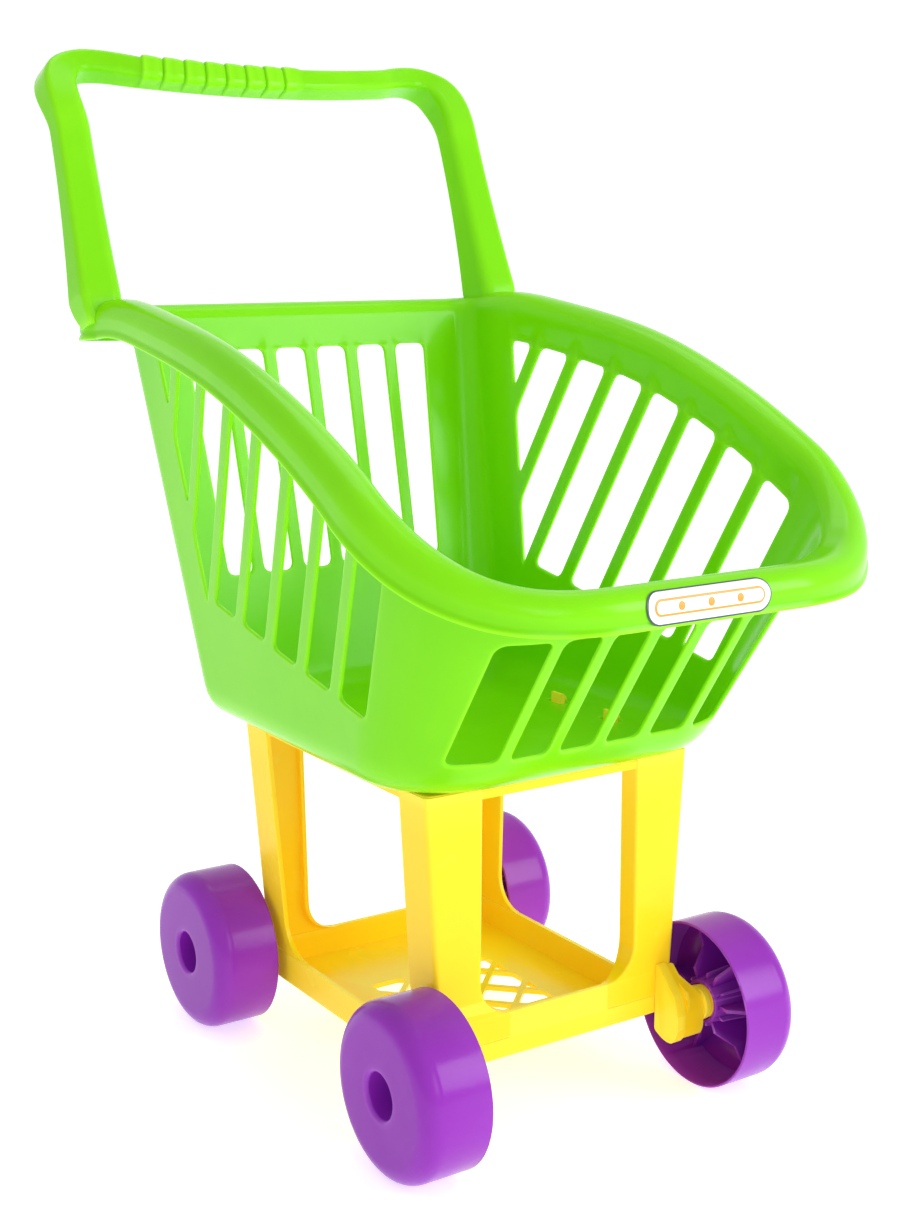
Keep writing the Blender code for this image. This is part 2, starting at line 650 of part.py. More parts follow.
def wheel_profile():
    """Half section as (distance along the axle, radius), from the socket round to the socket."""
    wall = WHEEL_WALL
    socket = AXLE_RADIUS + AXLE_CLEARANCE
    shoulder = []
    for step in range(4):
        turn = math.radians(30 * step)
        shoulder.append((WHEEL_OUTER_X - WHEEL_SHOULDER * (1 - math.sin(turn)),
                         WHEEL_RADIUS - WHEEL_SHOULDER * (1 - math.cos(turn))))
    inner_shoulder = [(x - wall * 0.8, r - wall * 0.8) for x, r in reversed(shoulder[1:3])]
    return ([(HUB_WEB_X - 0.0004, 0.0), (HUB_WEB_X - 0.0004, socket), (HUB_INNER_X, socket),
             (HUB_INNER_X, socket + 0.0020), (WHEEL_OUTER_X - wall, HUB_RADIUS + 0.0020),
             (WHEEL_OUTER_X - wall, WHEEL_RADIUS - WHEEL_SHOULDER)]
            + inner_shoulder
            + [(WHEEL_OUTER_X - WHEEL_SHOULDER, WHEEL_RADIUS - wall), (WHEEL_INNER_X, WHEEL_RADIUS - wall),
               (WHEEL_INNER_X, WHEEL_RADIUS)]
            + shoulder
            + [(WHEEL_OUTER_X, RECESS_RADIUS + 0.0015), (WHEEL_OUTER_X - 0.0015, RECESS_RADIUS),
               (HUB_WEB_X + 0.0018, RECESS_RADIUS - 0.0010), (HUB_WEB_X + 0.0018, 0.0)])


def wheel_mesh():
    """One wheel about the X axis, outer face towards +X; left wheels are turned half round."""
    builder = bmesh.new()
    profile = wheel_profile()
    poles = (builder.verts.new((profile[0][0], 0, 0)), builder.verts.new((profile[-1][0], 0, 0)))
    spokes = []
    for k in range(WHEEL_SEGMENTS):
        turn = 2 * math.pi * k / WHEEL_SEGMENTS
        spokes.append([builder.verts.new((x, r * math.cos(turn), r * math.sin(turn))) for x, r in profile[1:-1]])
    for first, second in zip(spokes, spokes[1:] + spokes[:1]):
        builder.faces.new((poles[0], first[0], second[0]))
        builder.faces.new((poles[1], second[-1], first[-1]))
        for k in range(len(first) - 1):
            builder.faces.new((first[k], first[k + 1], second[k + 1], second[k]))
    return builder


def wheel_ribs():
    """Radial ribs inside the wheel: high at the hub, stepping down towards the rim."""
    builder = bmesh.new()
    start = HUB_RADIUS - 0.0012
    end = WHEEL_RADIUS - WHEEL_WALL * 0.5
    outline = [(start, WHEEL_OUTER_X - WHEEL_WALL * 0.5), (start, HUB_INNER_X + 0.0030), (0.0260, 0.0880),
               (end, 0.0950), (end, WHEEL_OUTER_X - WHEEL_SHOULDER), (0.0300, WHEEL_OUTER_X - WHEEL_WALL * 0.5)]
    for k in range(WHEEL_SPOKES):
        turn = Matrix.Rotation(2 * math.pi * (k + 0.5) / WHEEL_SPOKES, 3, "X")
        rings = [[turn @ Vector((x, y, r)) for r, x in outline] for y in (-0.0008, 0.0008)]
        skin(builder, rings)
    return builder


def make_wheels(material):
    ribs = add_cutter("wheel_ribs", wheel_ribs())
    first = add_object("wheel_front_left", wheel_mesh(), material, 35)
    boolean(first, ribs, "UNION")
    applied = bpy.data.meshes.new_from_object(first.evaluated_get(bpy.context.evaluated_depsgraph_get()))
    first.modifiers.clear()
    first.data = applied
    bpy.data.objects.remove(ribs, do_unlink=True)
    for end in ("front", "rear"):
        for side, side_name in SIDES:
            name = "wheel_%s_%s" % (end, side_name)
            wheel = first if name == first.name else bpy.data.objects.new(name, applied)
            if wheel is not first:
                bpy.context.scene.collection.objects.link(wheel)
            axle = bpy.data.objects.new("axle_%s_%s" % (end, side_name), None)
            axle.location = (0, AXLE_Y[end], WHEEL_RADIUS)
            axle.rotation_euler = (0, 0, 0 if side > 0 else math.pi)
            bpy.context.scene.collection.objects.link(axle)
            wheel.parent = axle


# ---------------------------------------------------------------- badge

def make_badge(material):
    """Blank pill-shaped badge that wraps over the front of the rim."""
    wide, tall = BADGE_SIZE
    centre_z = hermite(RIM_HEIGHTS, RIM_OUTLINE["front"])

    def over_rim(travel, lift):
        turn = max(0.0, travel) / RIM_RADIUS
        radius = RIM_RADIUS + lift
        return (RIM_OUTLINE["front"] - radius * math.cos(turn),
                centre_z + min(0.0, travel) + radius * math.sin(turn))
    rings = []
    for step in range(9):
        across = -math.cos(math.pi * (step + 0.5) / 9) * tall / 2
        half = wide / 2 - tall / 2 + math.sqrt((tall / 2) ** 2 - across ** 2)
        left, right = BADGE_CENTRE_X - half, BADGE_CENTRE_X + half
        low, high = (over_rim(across + BADGE_CLIMB, lift) for lift in (GAP, GAP + BADGE_THICKNESS))
        rings.append([(left, *low), (right, *low), (right, *high), (left, *high)])
    return add_object("nose_badge", skin(bmesh.new(), rings), material, 30)


def main():
    clear_scene()
    green = plastic("green_plastic", GREEN)
    yellow = plastic("yellow_plastic", YELLOW)
    purple = plastic("purple_plastic", PURPLE)
    white = plastic("badge_film", WHITE, 0.35)
    make_basket(green)
    make_handle(green)
    make_top_frame(yellow)
    make_tray(yellow)
    for end in ("front", "rear"):
        for side, side_name in SIDES:
            place = "%s_%s" % (end, side_name)
            make_leg("leg_" + place, side, end, yellow)
            make_bracket("axle_bracket_" + place, side, end, yellow)
            make_stub_axle("stub_axle_" + place, side, end, yellow)
    make_wheels(purple)
    make_badge(white)


main()
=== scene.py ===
import json
import math

import bmesh
import bpy
import numpy as np
from mathutils import Matrix, Vector, geometry


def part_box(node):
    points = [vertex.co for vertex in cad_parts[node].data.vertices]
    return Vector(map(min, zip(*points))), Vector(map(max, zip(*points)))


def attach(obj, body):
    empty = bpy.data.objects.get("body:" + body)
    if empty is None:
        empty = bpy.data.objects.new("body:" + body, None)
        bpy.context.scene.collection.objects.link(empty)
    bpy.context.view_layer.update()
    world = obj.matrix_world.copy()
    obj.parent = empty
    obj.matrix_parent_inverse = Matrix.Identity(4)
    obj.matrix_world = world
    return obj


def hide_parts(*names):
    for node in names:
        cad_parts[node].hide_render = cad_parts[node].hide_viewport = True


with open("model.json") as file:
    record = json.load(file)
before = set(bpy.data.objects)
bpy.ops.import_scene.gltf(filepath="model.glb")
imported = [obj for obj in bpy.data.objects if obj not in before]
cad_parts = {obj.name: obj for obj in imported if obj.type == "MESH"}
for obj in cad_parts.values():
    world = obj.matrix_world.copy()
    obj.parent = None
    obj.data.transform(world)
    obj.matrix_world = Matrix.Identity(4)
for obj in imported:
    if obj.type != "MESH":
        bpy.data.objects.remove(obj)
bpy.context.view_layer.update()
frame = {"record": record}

SIDES = ((1, "left"), (-1, "right"))
ENDS = (("front", -1), ("rear", 1))


# ------------------------------------------------------------------ materials

class Graph:
    """Shorthand for wiring up the nodes of a material or of the world."""

    def __init__(self, tree):
        self.nodes, self.links = tree.nodes, tree.links

    def noise(self, source, scale, detail=3.0, rough=0.5, stretch=(1, 1, 1)):
        mapping = self.nodes.new("ShaderNodeMapping")
        mapping.inputs["Scale"].default_value = stretch
        self.links.new(source, mapping.inputs["Vector"])
        texture = self.nodes.new("ShaderNodeTexNoise")
        texture.inputs["Scale"].default_value = scale
        texture.inputs["Detail"].default_value = detail
        texture.inputs["Roughness"].default_value = rough
        self.links.new(mapping.outputs["Vector"], texture.inputs["Vector"])
        return texture.outputs["Fac"]

    def remap(self, source, low, high, to_low, to_high):
        node = self.nodes.new("ShaderNodeMapRange")
        limits = {"From Min": low, "From Max": high, "To Min": to_low, "To Max": to_high}
        for key, value in limits.items():
            node.inputs[key].default_value = value
        self.links.new(source, node.inputs["Value"])
        return node.outputs["Result"]

    def mix(self, factor, first, second):
        node = self.nodes.new("ShaderNodeMix")
        node.data_type = "RGBA"
        self.links.new(factor, node.inputs[0])
        for index, value in ((6, first), (7, second)):
            if isinstance(value, tuple):
                node.inputs[index].default_value = value
            else:
                self.links.new(value, node.inputs[index])
        return node.outputs[2]

    def add(self, first, second, weight):
        node = self.nodes.new("ShaderNodeMath")
        node.operation = "MULTIPLY_ADD"
        self.links.new(second, node.inputs[0])
        node.inputs[1].default_value = weight
        self.links.new(first, node.inputs[2])
        return node.outputs[0]

    def emboss(self, shader, height, strength, distance):
        bump = self.nodes.new("ShaderNodeBump")
        bump.inputs["Strength"].default_value = strength
        bump.inputs["Distance"].default_value = distance
        self.links.new(height, bump.inputs["Height"])
        self.links.new(bump.outputs["Normal"], shader.inputs["Normal"])


def new_material(name):
    """The material, its graph, its shader and the object coordinates."""
    material = bpy.data.materials.new(name)
    material.use_nodes = True
    graph = Graph(material.node_tree)
    where = graph.nodes.new("ShaderNodeTexCoord").outputs["Object"]
    return material, graph, graph.nodes["Principled BSDF"], where


def moulded_plastic(name, base, shade, edge, gloss, glow, scatter, painted_glow):
    """Glossy moulded plastic: flow marks, orange peel, faint scuffs, a painted highlight on convex edges, and
    a painted glow (emission) standing in for light coming through the walls.
    """
    material, graph, shader, where = new_material(name)
    flow = graph.noise(where, 7.0, 3.0, 0.5, (1.0, 1.0, 0.45))
    blotch = graph.noise(where, 30.0, 3.0, 0.55)
    peel = graph.noise(where, 420.0, 2.0, 0.5)
    scuff = graph.noise(where, 160.0, 6.0, 0.75, (1.0, 6.0, 1.0))
    tone = graph.mix(graph.remap(flow, 0.36, 0.66, 0.0, 1.0), base, shade)
    tone = graph.mix(graph.remap(blotch, 0.52, 0.80, 0.0, 0.10), tone, edge)
    # Painted highlight: convex edges (high pointiness) are mixed towards the pale colour, which paints light
    # into the colour
    bend = graph.nodes.new("ShaderNodeNewGeometry").outputs["Pointiness"]
    tone = graph.mix(graph.remap(bend, 0.505, 0.56, 0.0, 0.75), tone, edge)
    graph.links.new(tone, shader.inputs["Base Color"])
    # Painted glow: the plastic emits its own colour, lifting its shade the way light coming through the thin
    # walls would
    graph.links.new(tone, shader.inputs["Emission Color"])
    rough = graph.remap(blotch, 0.35, 0.70, gloss * 0.88, gloss * 1.15)
    scratches = graph.remap(scuff, 0.62, 0.76, 0.0, 0.06)
    graph.links.new(graph.add(rough, scratches, 1.0), shader.inputs["Roughness"])
    relief = graph.add(peel, scuff, 0.15)
    graph.emboss(shader, graph.add(relief, flow, 1.6), 0.14, 0.00035)
    levels = {"Emission Strength": painted_glow, "IOR": 1.46, "Specular IOR Level": 0.22,
              "Subsurface Weight": scatter, "Subsurface Radius": glow, "Subsurface Scale": 0.006}
    for key, value in levels.items():
        shader.inputs[key].default_value = value
    return material


# Per colour: base and shade tones mixed at random, a pale tone for random blotches and for the painted edge
# highlight, then gloss, subsurface radius, subsurface weight and the strength of the painted glow
GREEN = moulded_plastic("lime_plastic", (0.205, 0.690, 0.001, 1), (0.180, 0.640, 0.001, 1),
                        (0.360, 0.960, 0.020, 1), 0.20, (0.5, 1.0, 0.1), 0.10, 0.03)
YELLOW = moulded_plastic("sun_plastic", (1.000, 0.660, 0.010, 1), (1.000, 0.620, 0.007, 1),
                         (1.000, 0.800, 0.060, 1), 0.25, (1.0, 0.6, 0.1), 0.10, 0.10)
PURPLE = moulded_plastic("grape_plastic", (0.275, 0.018, 0.450, 1), (0.245, 0.014, 0.400, 1),
                         (0.450, 0.110, 0.680, 1), 0.20, (0.6, 0.2, 1.0), 0.06, 0.03)


def film(name, colour, second):
    """Printed label film: faint paper-like fibre and a satin sheen."""
    material, graph, shader, where = new_material(name)
    fibre = graph.noise(where, 300.0, 5.0, 0.7, (1.0, 3.0, 1.0))
    graph.links.new(graph.mix(fibre, colour, second), shader.inputs["Base Color"])
    graph.links.new(graph.remap(fibre, 0.3, 0.7, 0.28, 0.42), shader.inputs["Roughness"])
    graph.emboss(shader, fibre, 0.08, 0.0002)
    return material


WHITE_FILM = film("white_film", (0.90, 0.90, 0.89, 1), (0.84, 0.85, 0.85, 1))
INK_FILM = film("ink_film", (0.035, 0.060, 0.085, 1), (0.050, 0.080, 0.110, 1))
TINT_FILM = film("tint_film", (0.900, 0.360, 0.020, 1), (0.850, 0.300, 0.020, 1))


# ------------------------------------------------------------------ helpers

def place_piece(name, builder, materials, body, nodes, smooth_angle=None):
    """Make the object, let it ride on its body and stand for its CAD nodes."""
    bmesh.ops.recalc_face_normals(builder, faces=builder.faces)
    mesh = bpy.data.meshes.new(name)
    builder.to_mesh(mesh)
    builder.free()
    mesh.shade_smooth()
    if smooth_angle is not None:
        mesh.set_sharp_from_angle(angle=math.radians(smooth_angle))
    for material in materials:
        mesh.materials.append(material)
    piece = bpy.data.objects.new(name, mesh)
    bpy.context.scene.collection.objects.link(piece)
    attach(piece, body)
    if nodes:
        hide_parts(*nodes)
    return piece


def soften(piece, width, segments=2, angle=32):
    bevel = piece.modifiers.new("Soft edges", "BEVEL")
    bevel.width = width
    bevel.segments = segments
    bevel.limit_method = "ANGLE"
    bevel.angle_limit = math.radians(angle)
    even_shading(piece, False)


def even_shading(piece, keep_sharp):
    normals = piece.modifiers.new("Even shading", "WEIGHTED_NORMAL")
    normals.keep_sharp = keep_sharp


def skin(builder, rings, closed_path=False):
    """Join rings of points into a tube; its ends are closed unless the path is."""
    loops = [[builder.verts.new(point) for point in ring] for ring in rings]
    count = len(loops[0])
    pairs = list(zip(loops, loops[1:]))
    if closed_path:
        pairs.append((loops[-1], loops[0]))
    for first, second in pairs:
        for k in range(count):
            n = (k + 1) % count
            builder.faces.new((first[k], first[n], second[n], second[k]))
    if not closed_path:
        builder.faces.new(loops[0][::-1])
        builder.faces.new(loops[-1])
    return builder


def round_polygon(points, radii, steps=4):
    """Round each corner of a flat polygon with a short curve of its own reach."""
    result = []
    for index, corner in enumerate(points):
        corner = Vector(corner)
        before = Vector(points[index - 1]) - corner
        after = Vector(points[(index + 1) % len(points)]) - corner
        radius = radii[index] if isinstance(radii, (list, tuple)) else radii
        reach = min(radius, before.length * 0.46, after.length * 0.46)
        start = corner + before.normalized() * reach
        end = corner + after.normalized() * reach
        for step in range(steps + 1):
            t = step / steps
            result.append((1 - t) ** 2 * start + 2 * t * (1 - t) * corner + t * t * end)
    return result


def clipped(points, beyond):
    """The part of a flat polygon where the distance beyond a straight line is not positive."""
    result = []
    for a, b in zip(points, points[1:] + points[:1]):
        da, db = beyond(a), beyond(b)
        if da <= 0:
            result.append(a)
        if (da < 0) != (db < 0):
            t = da / (da - db)
            result.append(tuple(p + (q - p) * t for p, q in zip(a, b)))
    return result


def smoothstep(value):
    value = np.clip(value, 0.0, 1.0)
    return value * value * (3 - 2 * value)


def hermite(knots, value):
    """Smooth curve through (position, height) knots."""
    last = len(knots) - 1
    value = min(max(value, knots[0][0]), knots[last][0])
    k = max(i for i in range(last) if knots[i][0] <= value)

    def slope(i):
        a, b = knots[max(i - 1, 0)], knots[min(i + 1, last)]
        return (b[1] - a[1]) / (b[0] - a[0])
    (x0, z0), (x1, z1) = knots[k], knots[k + 1]
    span = x1 - x0
    t = (value - x0) / span
    m0 = slope(k) * span if k > 0 else 0.0
    m1 = slope(k + 1) * span
    return ((2 * t ** 3 - 3 * t ** 2 + 1) * z0 + (t ** 3 - 2 * t ** 2 + t) * m0
            + (3 * t ** 2 - 2 * t ** 3) * z1 + (t ** 3 - t ** 2) * m1)


# ------------------------------------------------------------------ basket

BASKET_LOW, BASKET_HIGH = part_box("basket")
FLOOR_Z = BASKET_LOW[2]
WALL = 0.0022
EDGE = 0.0008                      # rounding of slot and lip edges
ROLL = 0.010
LIP = 0.0095
LIP_FLARE = 0.0007                 # the rim's lower edge turns out by this much
NOSE_LIP_CUT = 0.0020
NOSE_DIP = 0.0022
FILLET = 0.016
CORNER_SWELL = 0.0075              # the rim widens under the handle's feet
SWELL_AT, SWELL_BEFORE, SWELL_AFTER = 1.62, 0.55, 0.36     # where round the outline, and how far either way
ROLL_INSIDE, ROLL_NOSE = 1.06, 0.85    # how far the roll reaches inwards, and how much more at the nose
CROWN_STEPS, OUTER_STEPS = 8, 10
RIM_FRONT = BASKET_LOW[1] + ROLL
RIM_REAR = BASKET_HIGH[1] - ROLL
RIM_HEIGHTS = ((-0.1985, 0.2755), (-0.1725, 0.2850), (-0.1225, 0.3184), (-0.0625, 0.3473),
               (-0.0025, 0.3669), (0.0775, 0.3805), (0.1175, 0.3835), (0.1570, 0.3785))
FLOOR_SHAPE = {"half_rear": 0.0955, "half_front": 0.0970, "front": -0.1151, "rear": 0.0990,
               "nose_wide": 0.048, "nose_long": 0.048, "round_rear": 0.020, "bulge": 0.0}
RIM_SHAPE = {"half_rear": 0.1205, "half_front": 0.1270, "front": RIM_FRONT, "rear": RIM_REAR,
             "nose_wide": 0.082, "nose_long": 0.072, "round_rear": 0.022, "bulge": 0.0030}
SEGMENTS = (30, 14, 96, 44, 18)    # steps along rear, rear corner, side, front corner and nose
SIDE_SLOTS = 8
SIDE_PITCH = 0.0349
SIDE_SLOT = 0.0252
SIDE_LEAN = -0.477
SIDE_FIRST = 0.1670
SIDE_FOOT = 0.2410
FOOT_FALL, FALL_FROM = 0.17, 0.0607    # the side slots' feet sink towards the nose, from this y on
SLOT_TOP_DROP = 0.0165
REAR_LEAN = 0.227
POST_Y = 0.1005
REAR_FOOT, REAR_TOP = 0.2435, 0.3640
FRONT_FOOT, FRONT_TOP = 0.1950, 0.2580
REAR_SPANS = (((0.0036, 0.0210), (0.0038, 0.0224)), ((0.0284, 0.0462), (0.0300, 0.0484)),
              ((0.0530, 0.0680), (0.0560, 0.0758)))
FRONT_SPANS = (((0.0032, 0.0231), (0.0032, 0.0231)), ((0.0295, 0.0502), (0.0295, 0.0502)),
               ((0.0560, 0.0790), (0.0556, 0.0800)))
CHANNEL_DEPTH = 0.0022             # shallow channel under the rim, between the tops of the ribs
CHANNEL_END = 0.006                # it fades out over this length
SIDE_WALL_X, REAR_WALL_Y = 0.09, 0.11  # wall points beyond these belong to the side and rear walls
REAR_RIBS, REAR_RIB_HALF = (0.0, 0.0262, 0.0522), 0.0038
REAR_CHANNEL, REAR_SHARE = 0.0765, 0.45    # half width of the rear channel, and its share of the depth
HOOK_X, HOOK_TOP = 0.0735, 0.1820
HOOK_HALF, HOOK_WIDE = 0.0012, 0.0090  # half a hook's thickness, and its width
HOOK_SPOTS = (-0.0435, 0.0025)     # two hooks of the frame come up through each side of the floor
HOOK_HOLE = (0.003, 0.006)         # half the size of the hole round a hook
HOOK_CLEAR = 0.005                 # the floor's plain grid keeps this far from a hole
FLOOR_GRID_X = (0.008, 0.0720, 9)
FLOOR_GRID_Y = (-0.0880, 0.0760, 20)


def outline(shape, u):
    """Plan point and outward normal of the right half outline, u from 0 (rear) to 5 (nose)."""
    segment = min(int(u), 4)
    f = u - segment
    wide_rear, wide_front = shape["half_rear"], shape["half_front"]
    nose_wide, nose_long, round_rear = shape["nose_wide"], shape["nose_long"], shape["round_rear"]
    if segment == 0:
        return Vector((f * (wide_rear - round_rear), shape["rear"])), Vector((0, 1))
    if segment == 1:
        turn = math.radians(90 * (1 - f))
        normal = Vector((math.cos(turn), math.sin(turn)))
        return Vector((wide_rear - round_rear, shape["rear"] - round_rear)) + round_rear * normal, normal
    if segment == 2:
        start = Vector((wide_rear, shape["rear"] - round_rear))
        end = Vector((wide_front, shape["front"] + nose_long))
        swell = Vector((shape["bulge"] * math.sin(math.pi * f) ** 1.5, 0))
        return start.lerp(end, f) + swell, Vector((1, 0))
    if segment == 3:
        turn = math.radians(-90 * f)
        normal = Vector((math.cos(turn), math.sin(turn)))
        centre = Vector((wide_front - nose_wide, shape["front"] + nose_long))
        return centre + Vector((nose_wide * normal.x, nose_long * normal.y)), normal
    return Vector(((1 - f) * (wide_front - nose_wide), shape["front"])), Vector((0, -1))


class Column:
    """Wall and rim section of the basket at one place round its outline."""

    def __init__(self, u):
        self.floor, self.normal = outline(FLOOR_SHAPE, u)
        rim, _ = outline(RIM_SHAPE, u)
        offset = rim - self.floor
        tangent = Vector((-self.normal.y, self.normal.x))
        self.height = hermite(RIM_HEIGHTS, rim.y) - FLOOR_Z
        self.shear = tangent * offset.dot(tangent) / self.height
        reach = offset.dot(self.normal)
        forward = max(0.0, -self.normal.y)
        inner = ROLL * (ROLL_INSIDE + ROLL_NOSE * forward ** 2)
        dip = NOSE_DIP * forward ** 2
        spread = SWELL_BEFORE if u < SWELL_AT else SWELL_AFTER
        swell = CORNER_SWELL * math.exp(-((u - SWELL_AT) / spread) ** 2)
        self.lip = LIP - NOSE_LIP_CUT * forward
        self.radius = ROLL - WALL / 2
        self.base = Vector((-0.4 * WALL, WALL / 2))
        self.inner_roll = Vector((reach - inner + ROLL, self.height - dip))
        self.outer_roll = Vector((reach + swell, self.height))
        d = self.inner_roll - self.base
        self.lean = math.atan2(d.y, d.x) + math.asin(self.radius / d.length)
        self.along = Vector((math.cos(self.lean), math.sin(self.lean)))
        self.wall_start = self.base + self.along * FILLET
        self.wall_end = self.base + self.along * math.sqrt(d.length ** 2 - self.radius ** 2)

    def place(self, point):
        plan = self.floor + self.normal * point.x + self.shear * max(0.0, point.y)
        return (plan.x, plan.y, FLOOR_Z + point.y)

    def fillet(self, steps):
        start = self.base - Vector((FILLET, 0))
        return [(1 - t) ** 2 * start + 2 * t * (1 - t) * self.base + t * t * self.wall_start
                for t in (k / steps for k in range(steps + 1))]

    def rim(self):
        across = self.outer_roll - self.inner_roll
        crown = math.pi / 2 + math.atan2(across.y, across.x)
        path = []
        start = self.lean + math.pi / 2
        for k in range(CROWN_STEPS + 1):
            turn = start + (crown - start) * k / CROWN_STEPS
            path.append(self.inner_roll + self.radius * Vector((math.cos(turn), math.sin(turn))))
        for k in range(OUTER_STEPS + 1):
            turn = crown * (1 - k / OUTER_STEPS)
            path.append(self.outer_roll + self.radius * Vector((math.cos(turn), math.sin(turn))))
        foot = self.outer_roll + Vector((self.radius, -self.lip))
        side = path[-1]
        path += [side.lerp(foot, 0.45), side.lerp(foot, 0.68) - Vector((LIP_FLARE * 0.6, 0))]
        path += [foot + Vector((LIP_FLARE, drop)) for drop in (EDGE, EDGE * 0.2, 0.0)]
        return path


LIP_HALVES = (1.0, 0.77, 0.35)     # half thickness of the last three rim rows, in parts of the rounding
FLAT_HEIGHT = 0.19                 # the wall's height when it is laid out flat to be divided
SLOT_ROUND = 0.0050


def half_thickness(distance):
    """Half the wall's thickness at a distance from a rounded edge."""
    d = np.clip(distance, 0.0, EDGE)
    return WALL / 2 - EDGE + np.sqrt(np.maximum(EDGE ** 2 - (EDGE - d) ** 2, 0.0))


def side_slot_outlines():
    outlines = []
    for index in range(SIDE_SLOTS):
        edge = SIDE_FIRST - SIDE_PITCH * index
        corners = []
        for start in (edge, edge - SIDE_SLOT):
            foot = SIDE_FOOT - FOOT_FALL * max(0.0, FALL_FROM - start)
            top = SIDE_FOOT
            for _ in range(12):
                top = hermite(RIM_HEIGHTS, start + SIDE_LEAN * (top - SIDE_FOOT)) - SLOT_TOP_DROP
            corners.append((start + SIDE_LEAN * (foot - SIDE_FOOT), foot))
            corners.append((start + SIDE_LEAN * (top - SIDE_FOOT), top))
        rear_foot, rear_top, front_foot, front_top = corners
        polygon = clipped([rear_foot, front_foot, front_top, rear_top], behind_post)
        if len(polygon) > 2:
            outlines.append(("side", polygon))
    for spans, foot, top, wall in ((REAR_SPANS, REAR_FOOT, REAR_TOP, "rear"),
                                   (FRONT_SPANS, FRONT_FOOT, FRONT_TOP, "front")):
        for (foot_in, foot_out), (top_in, top_out) in spans:
            outlines.append((wall, [(foot_in, foot), (foot_out, foot), (top_out, top), (top_in, top)]))
    return outlines


def behind_post(point):
    """How far a (y, z) point of the side wall lies behind the front edge of the rear corner post."""
    return point[0] - (POST_Y + REAR_LEAN * (point[1] - REAR_TOP))


def resample(points, step):
    """Split the long straight stretches of a closed outline."""
    result = []
    for a, b in zip(points, points[1:] + points[:1]):
        pieces = max(1, int(math.ceil((b - a).length / step)))
        result += [a.lerp(b, k / pieces) for k in range(pieces)]
    return result


def grown(points, amount):
    """The outline pushed outwards by amount."""
    area = sum(a.x * b.y - a.y * b.x for a, b in zip(points, points[1:] + points[:1]))
    sign = 1 if area > 0 else -1
    result = []
    for index, point in enumerate(points):
        along = points[(index + 1) % len(points)] - points[index - 1]
        outward = Vector((along.y, -along.x)).normalized() * sign
        result.append(point + outward * amount)
    return result


class Sheet:
    """Collects a thick sheet: both faces of every patch, and the strips that close its edges."""

    def __init__(self):
        self.verts = []
        self.faces = []

    def add(self, points, normals, halves, faces, open_edges):
        points, normals = np.asarray(points), np.asarray(normals)
        halves = np.asarray(halves).reshape(-1, 1)
        base, count = len(self.verts), len(points)
        self.verts += [tuple(p) for p in points + normals * halves]
        self.verts += [tuple(p) for p in points - normals * halves]
        for face in faces:
            self.faces.append([base + i for i in face])
            self.faces.append([base + count + i for i in reversed(face)])
        for a, b in open_edges:
            self.faces.append([base + a, base + b, base + count + b, base + count + a])

    def build(self):
        """The right half and its mirror image, welded along the middle."""
        builder = bmesh.new()
        for side in (1, -1):
            made = [builder.verts.new((side * v[0], v[1], v[2])) for v in self.verts]
            for face in self.faces:
                corners = [made[i] for i in (face if side > 0 else reversed(face))]
                if len(set(corners)) > 2:
                    builder.faces.new(corners)
        bmesh.ops.remove_doubles(builder, verts=builder.verts, dist=3e-5)
        return builder


def triangulate(points, rings):
    """Triangles over scattered points and closed rings; the inside of each ring's first loop is left open."""
    coords = list(points)
    edges = []
    cut_sets = []
    for loops in rings:
        for number, loop in enumerate(loops):
            start = len(coords)
            coords += loop
            edges += [(start + k, start + (k + 1) % len(loop)) for k in range(len(loop))]
            if number == 0:
                cut_sets.append(range(start, start + len(loop)))
    flat = [Vector(place) for place in coords]
    verts, _, triangles, origins, _, _ = geometry.delaunay_2d_cdt(flat, edges, [], 0, 1e-9)
    first = [source[0] if source else None for source in origins]
    inside = {}
    for number, members in enumerate(cut_sets):
        for index in members:
            inside[index] = number
    kept = []
    for face in triangles:
        source = [first[i] for i in face]
        if None in source:
            continue
        labels = [inside.get(i, -1) for i in source]
        if labels[0] >= 0 and labels[0] == labels[1] == labels[2]:
            continue
        kept.append(source)
    open_edges = []
    for members in cut_sets:
        members = list(members)
        open_edges += list(zip(members, members[1:] + members[:1]))
    return coords, kept, open_edges


def unit_rows(vectors):
    return vectors / np.linalg.norm(vectors, axis=1, keepdims=True)


EDGE_LOOPS = (0.0, EDGE * 0.2, EDGE, EDGE * 2.2)
TABLE_STEPS = 2000
TABLE_U = np.linspace(0.0, 5.0, TABLE_STEPS + 1)
TABLE = [Column(u) for u in TABLE_U]
WALL_LOW = np.array([c.place(c.wall_start) for c in TABLE])
WALL_TOP = np.array([c.place(c.wall_end) for c in TABLE])
LOW_SLOPE = np.gradient(WALL_LOW, TABLE_U, axis=0)
TOP_SLOPE = np.gradient(WALL_TOP, TABLE_U, axis=0)


def sample(table, u):
    return np.stack([np.interp(u, TABLE_U, table[:, k]) for k in range(3)], axis=1)


def wall_points(u, v):
    """Points and outward normals of the wall's middle surface."""
    u, v = np.asarray(u, float), np.asarray(v, float).reshape(-1, 1)
    low, top = sample(WALL_LOW, u), sample(WALL_TOP, u)
    along = sample(LOW_SLOPE, u) * (1 - v) + sample(TOP_SLOPE, u) * v
    normals = unit_rows(np.cross(top - low, along))
    normals[(u <= 0.0) | (u >= 5.0), 0] = 0.0
    return low + (top - low) * v, unit_rows(normals)


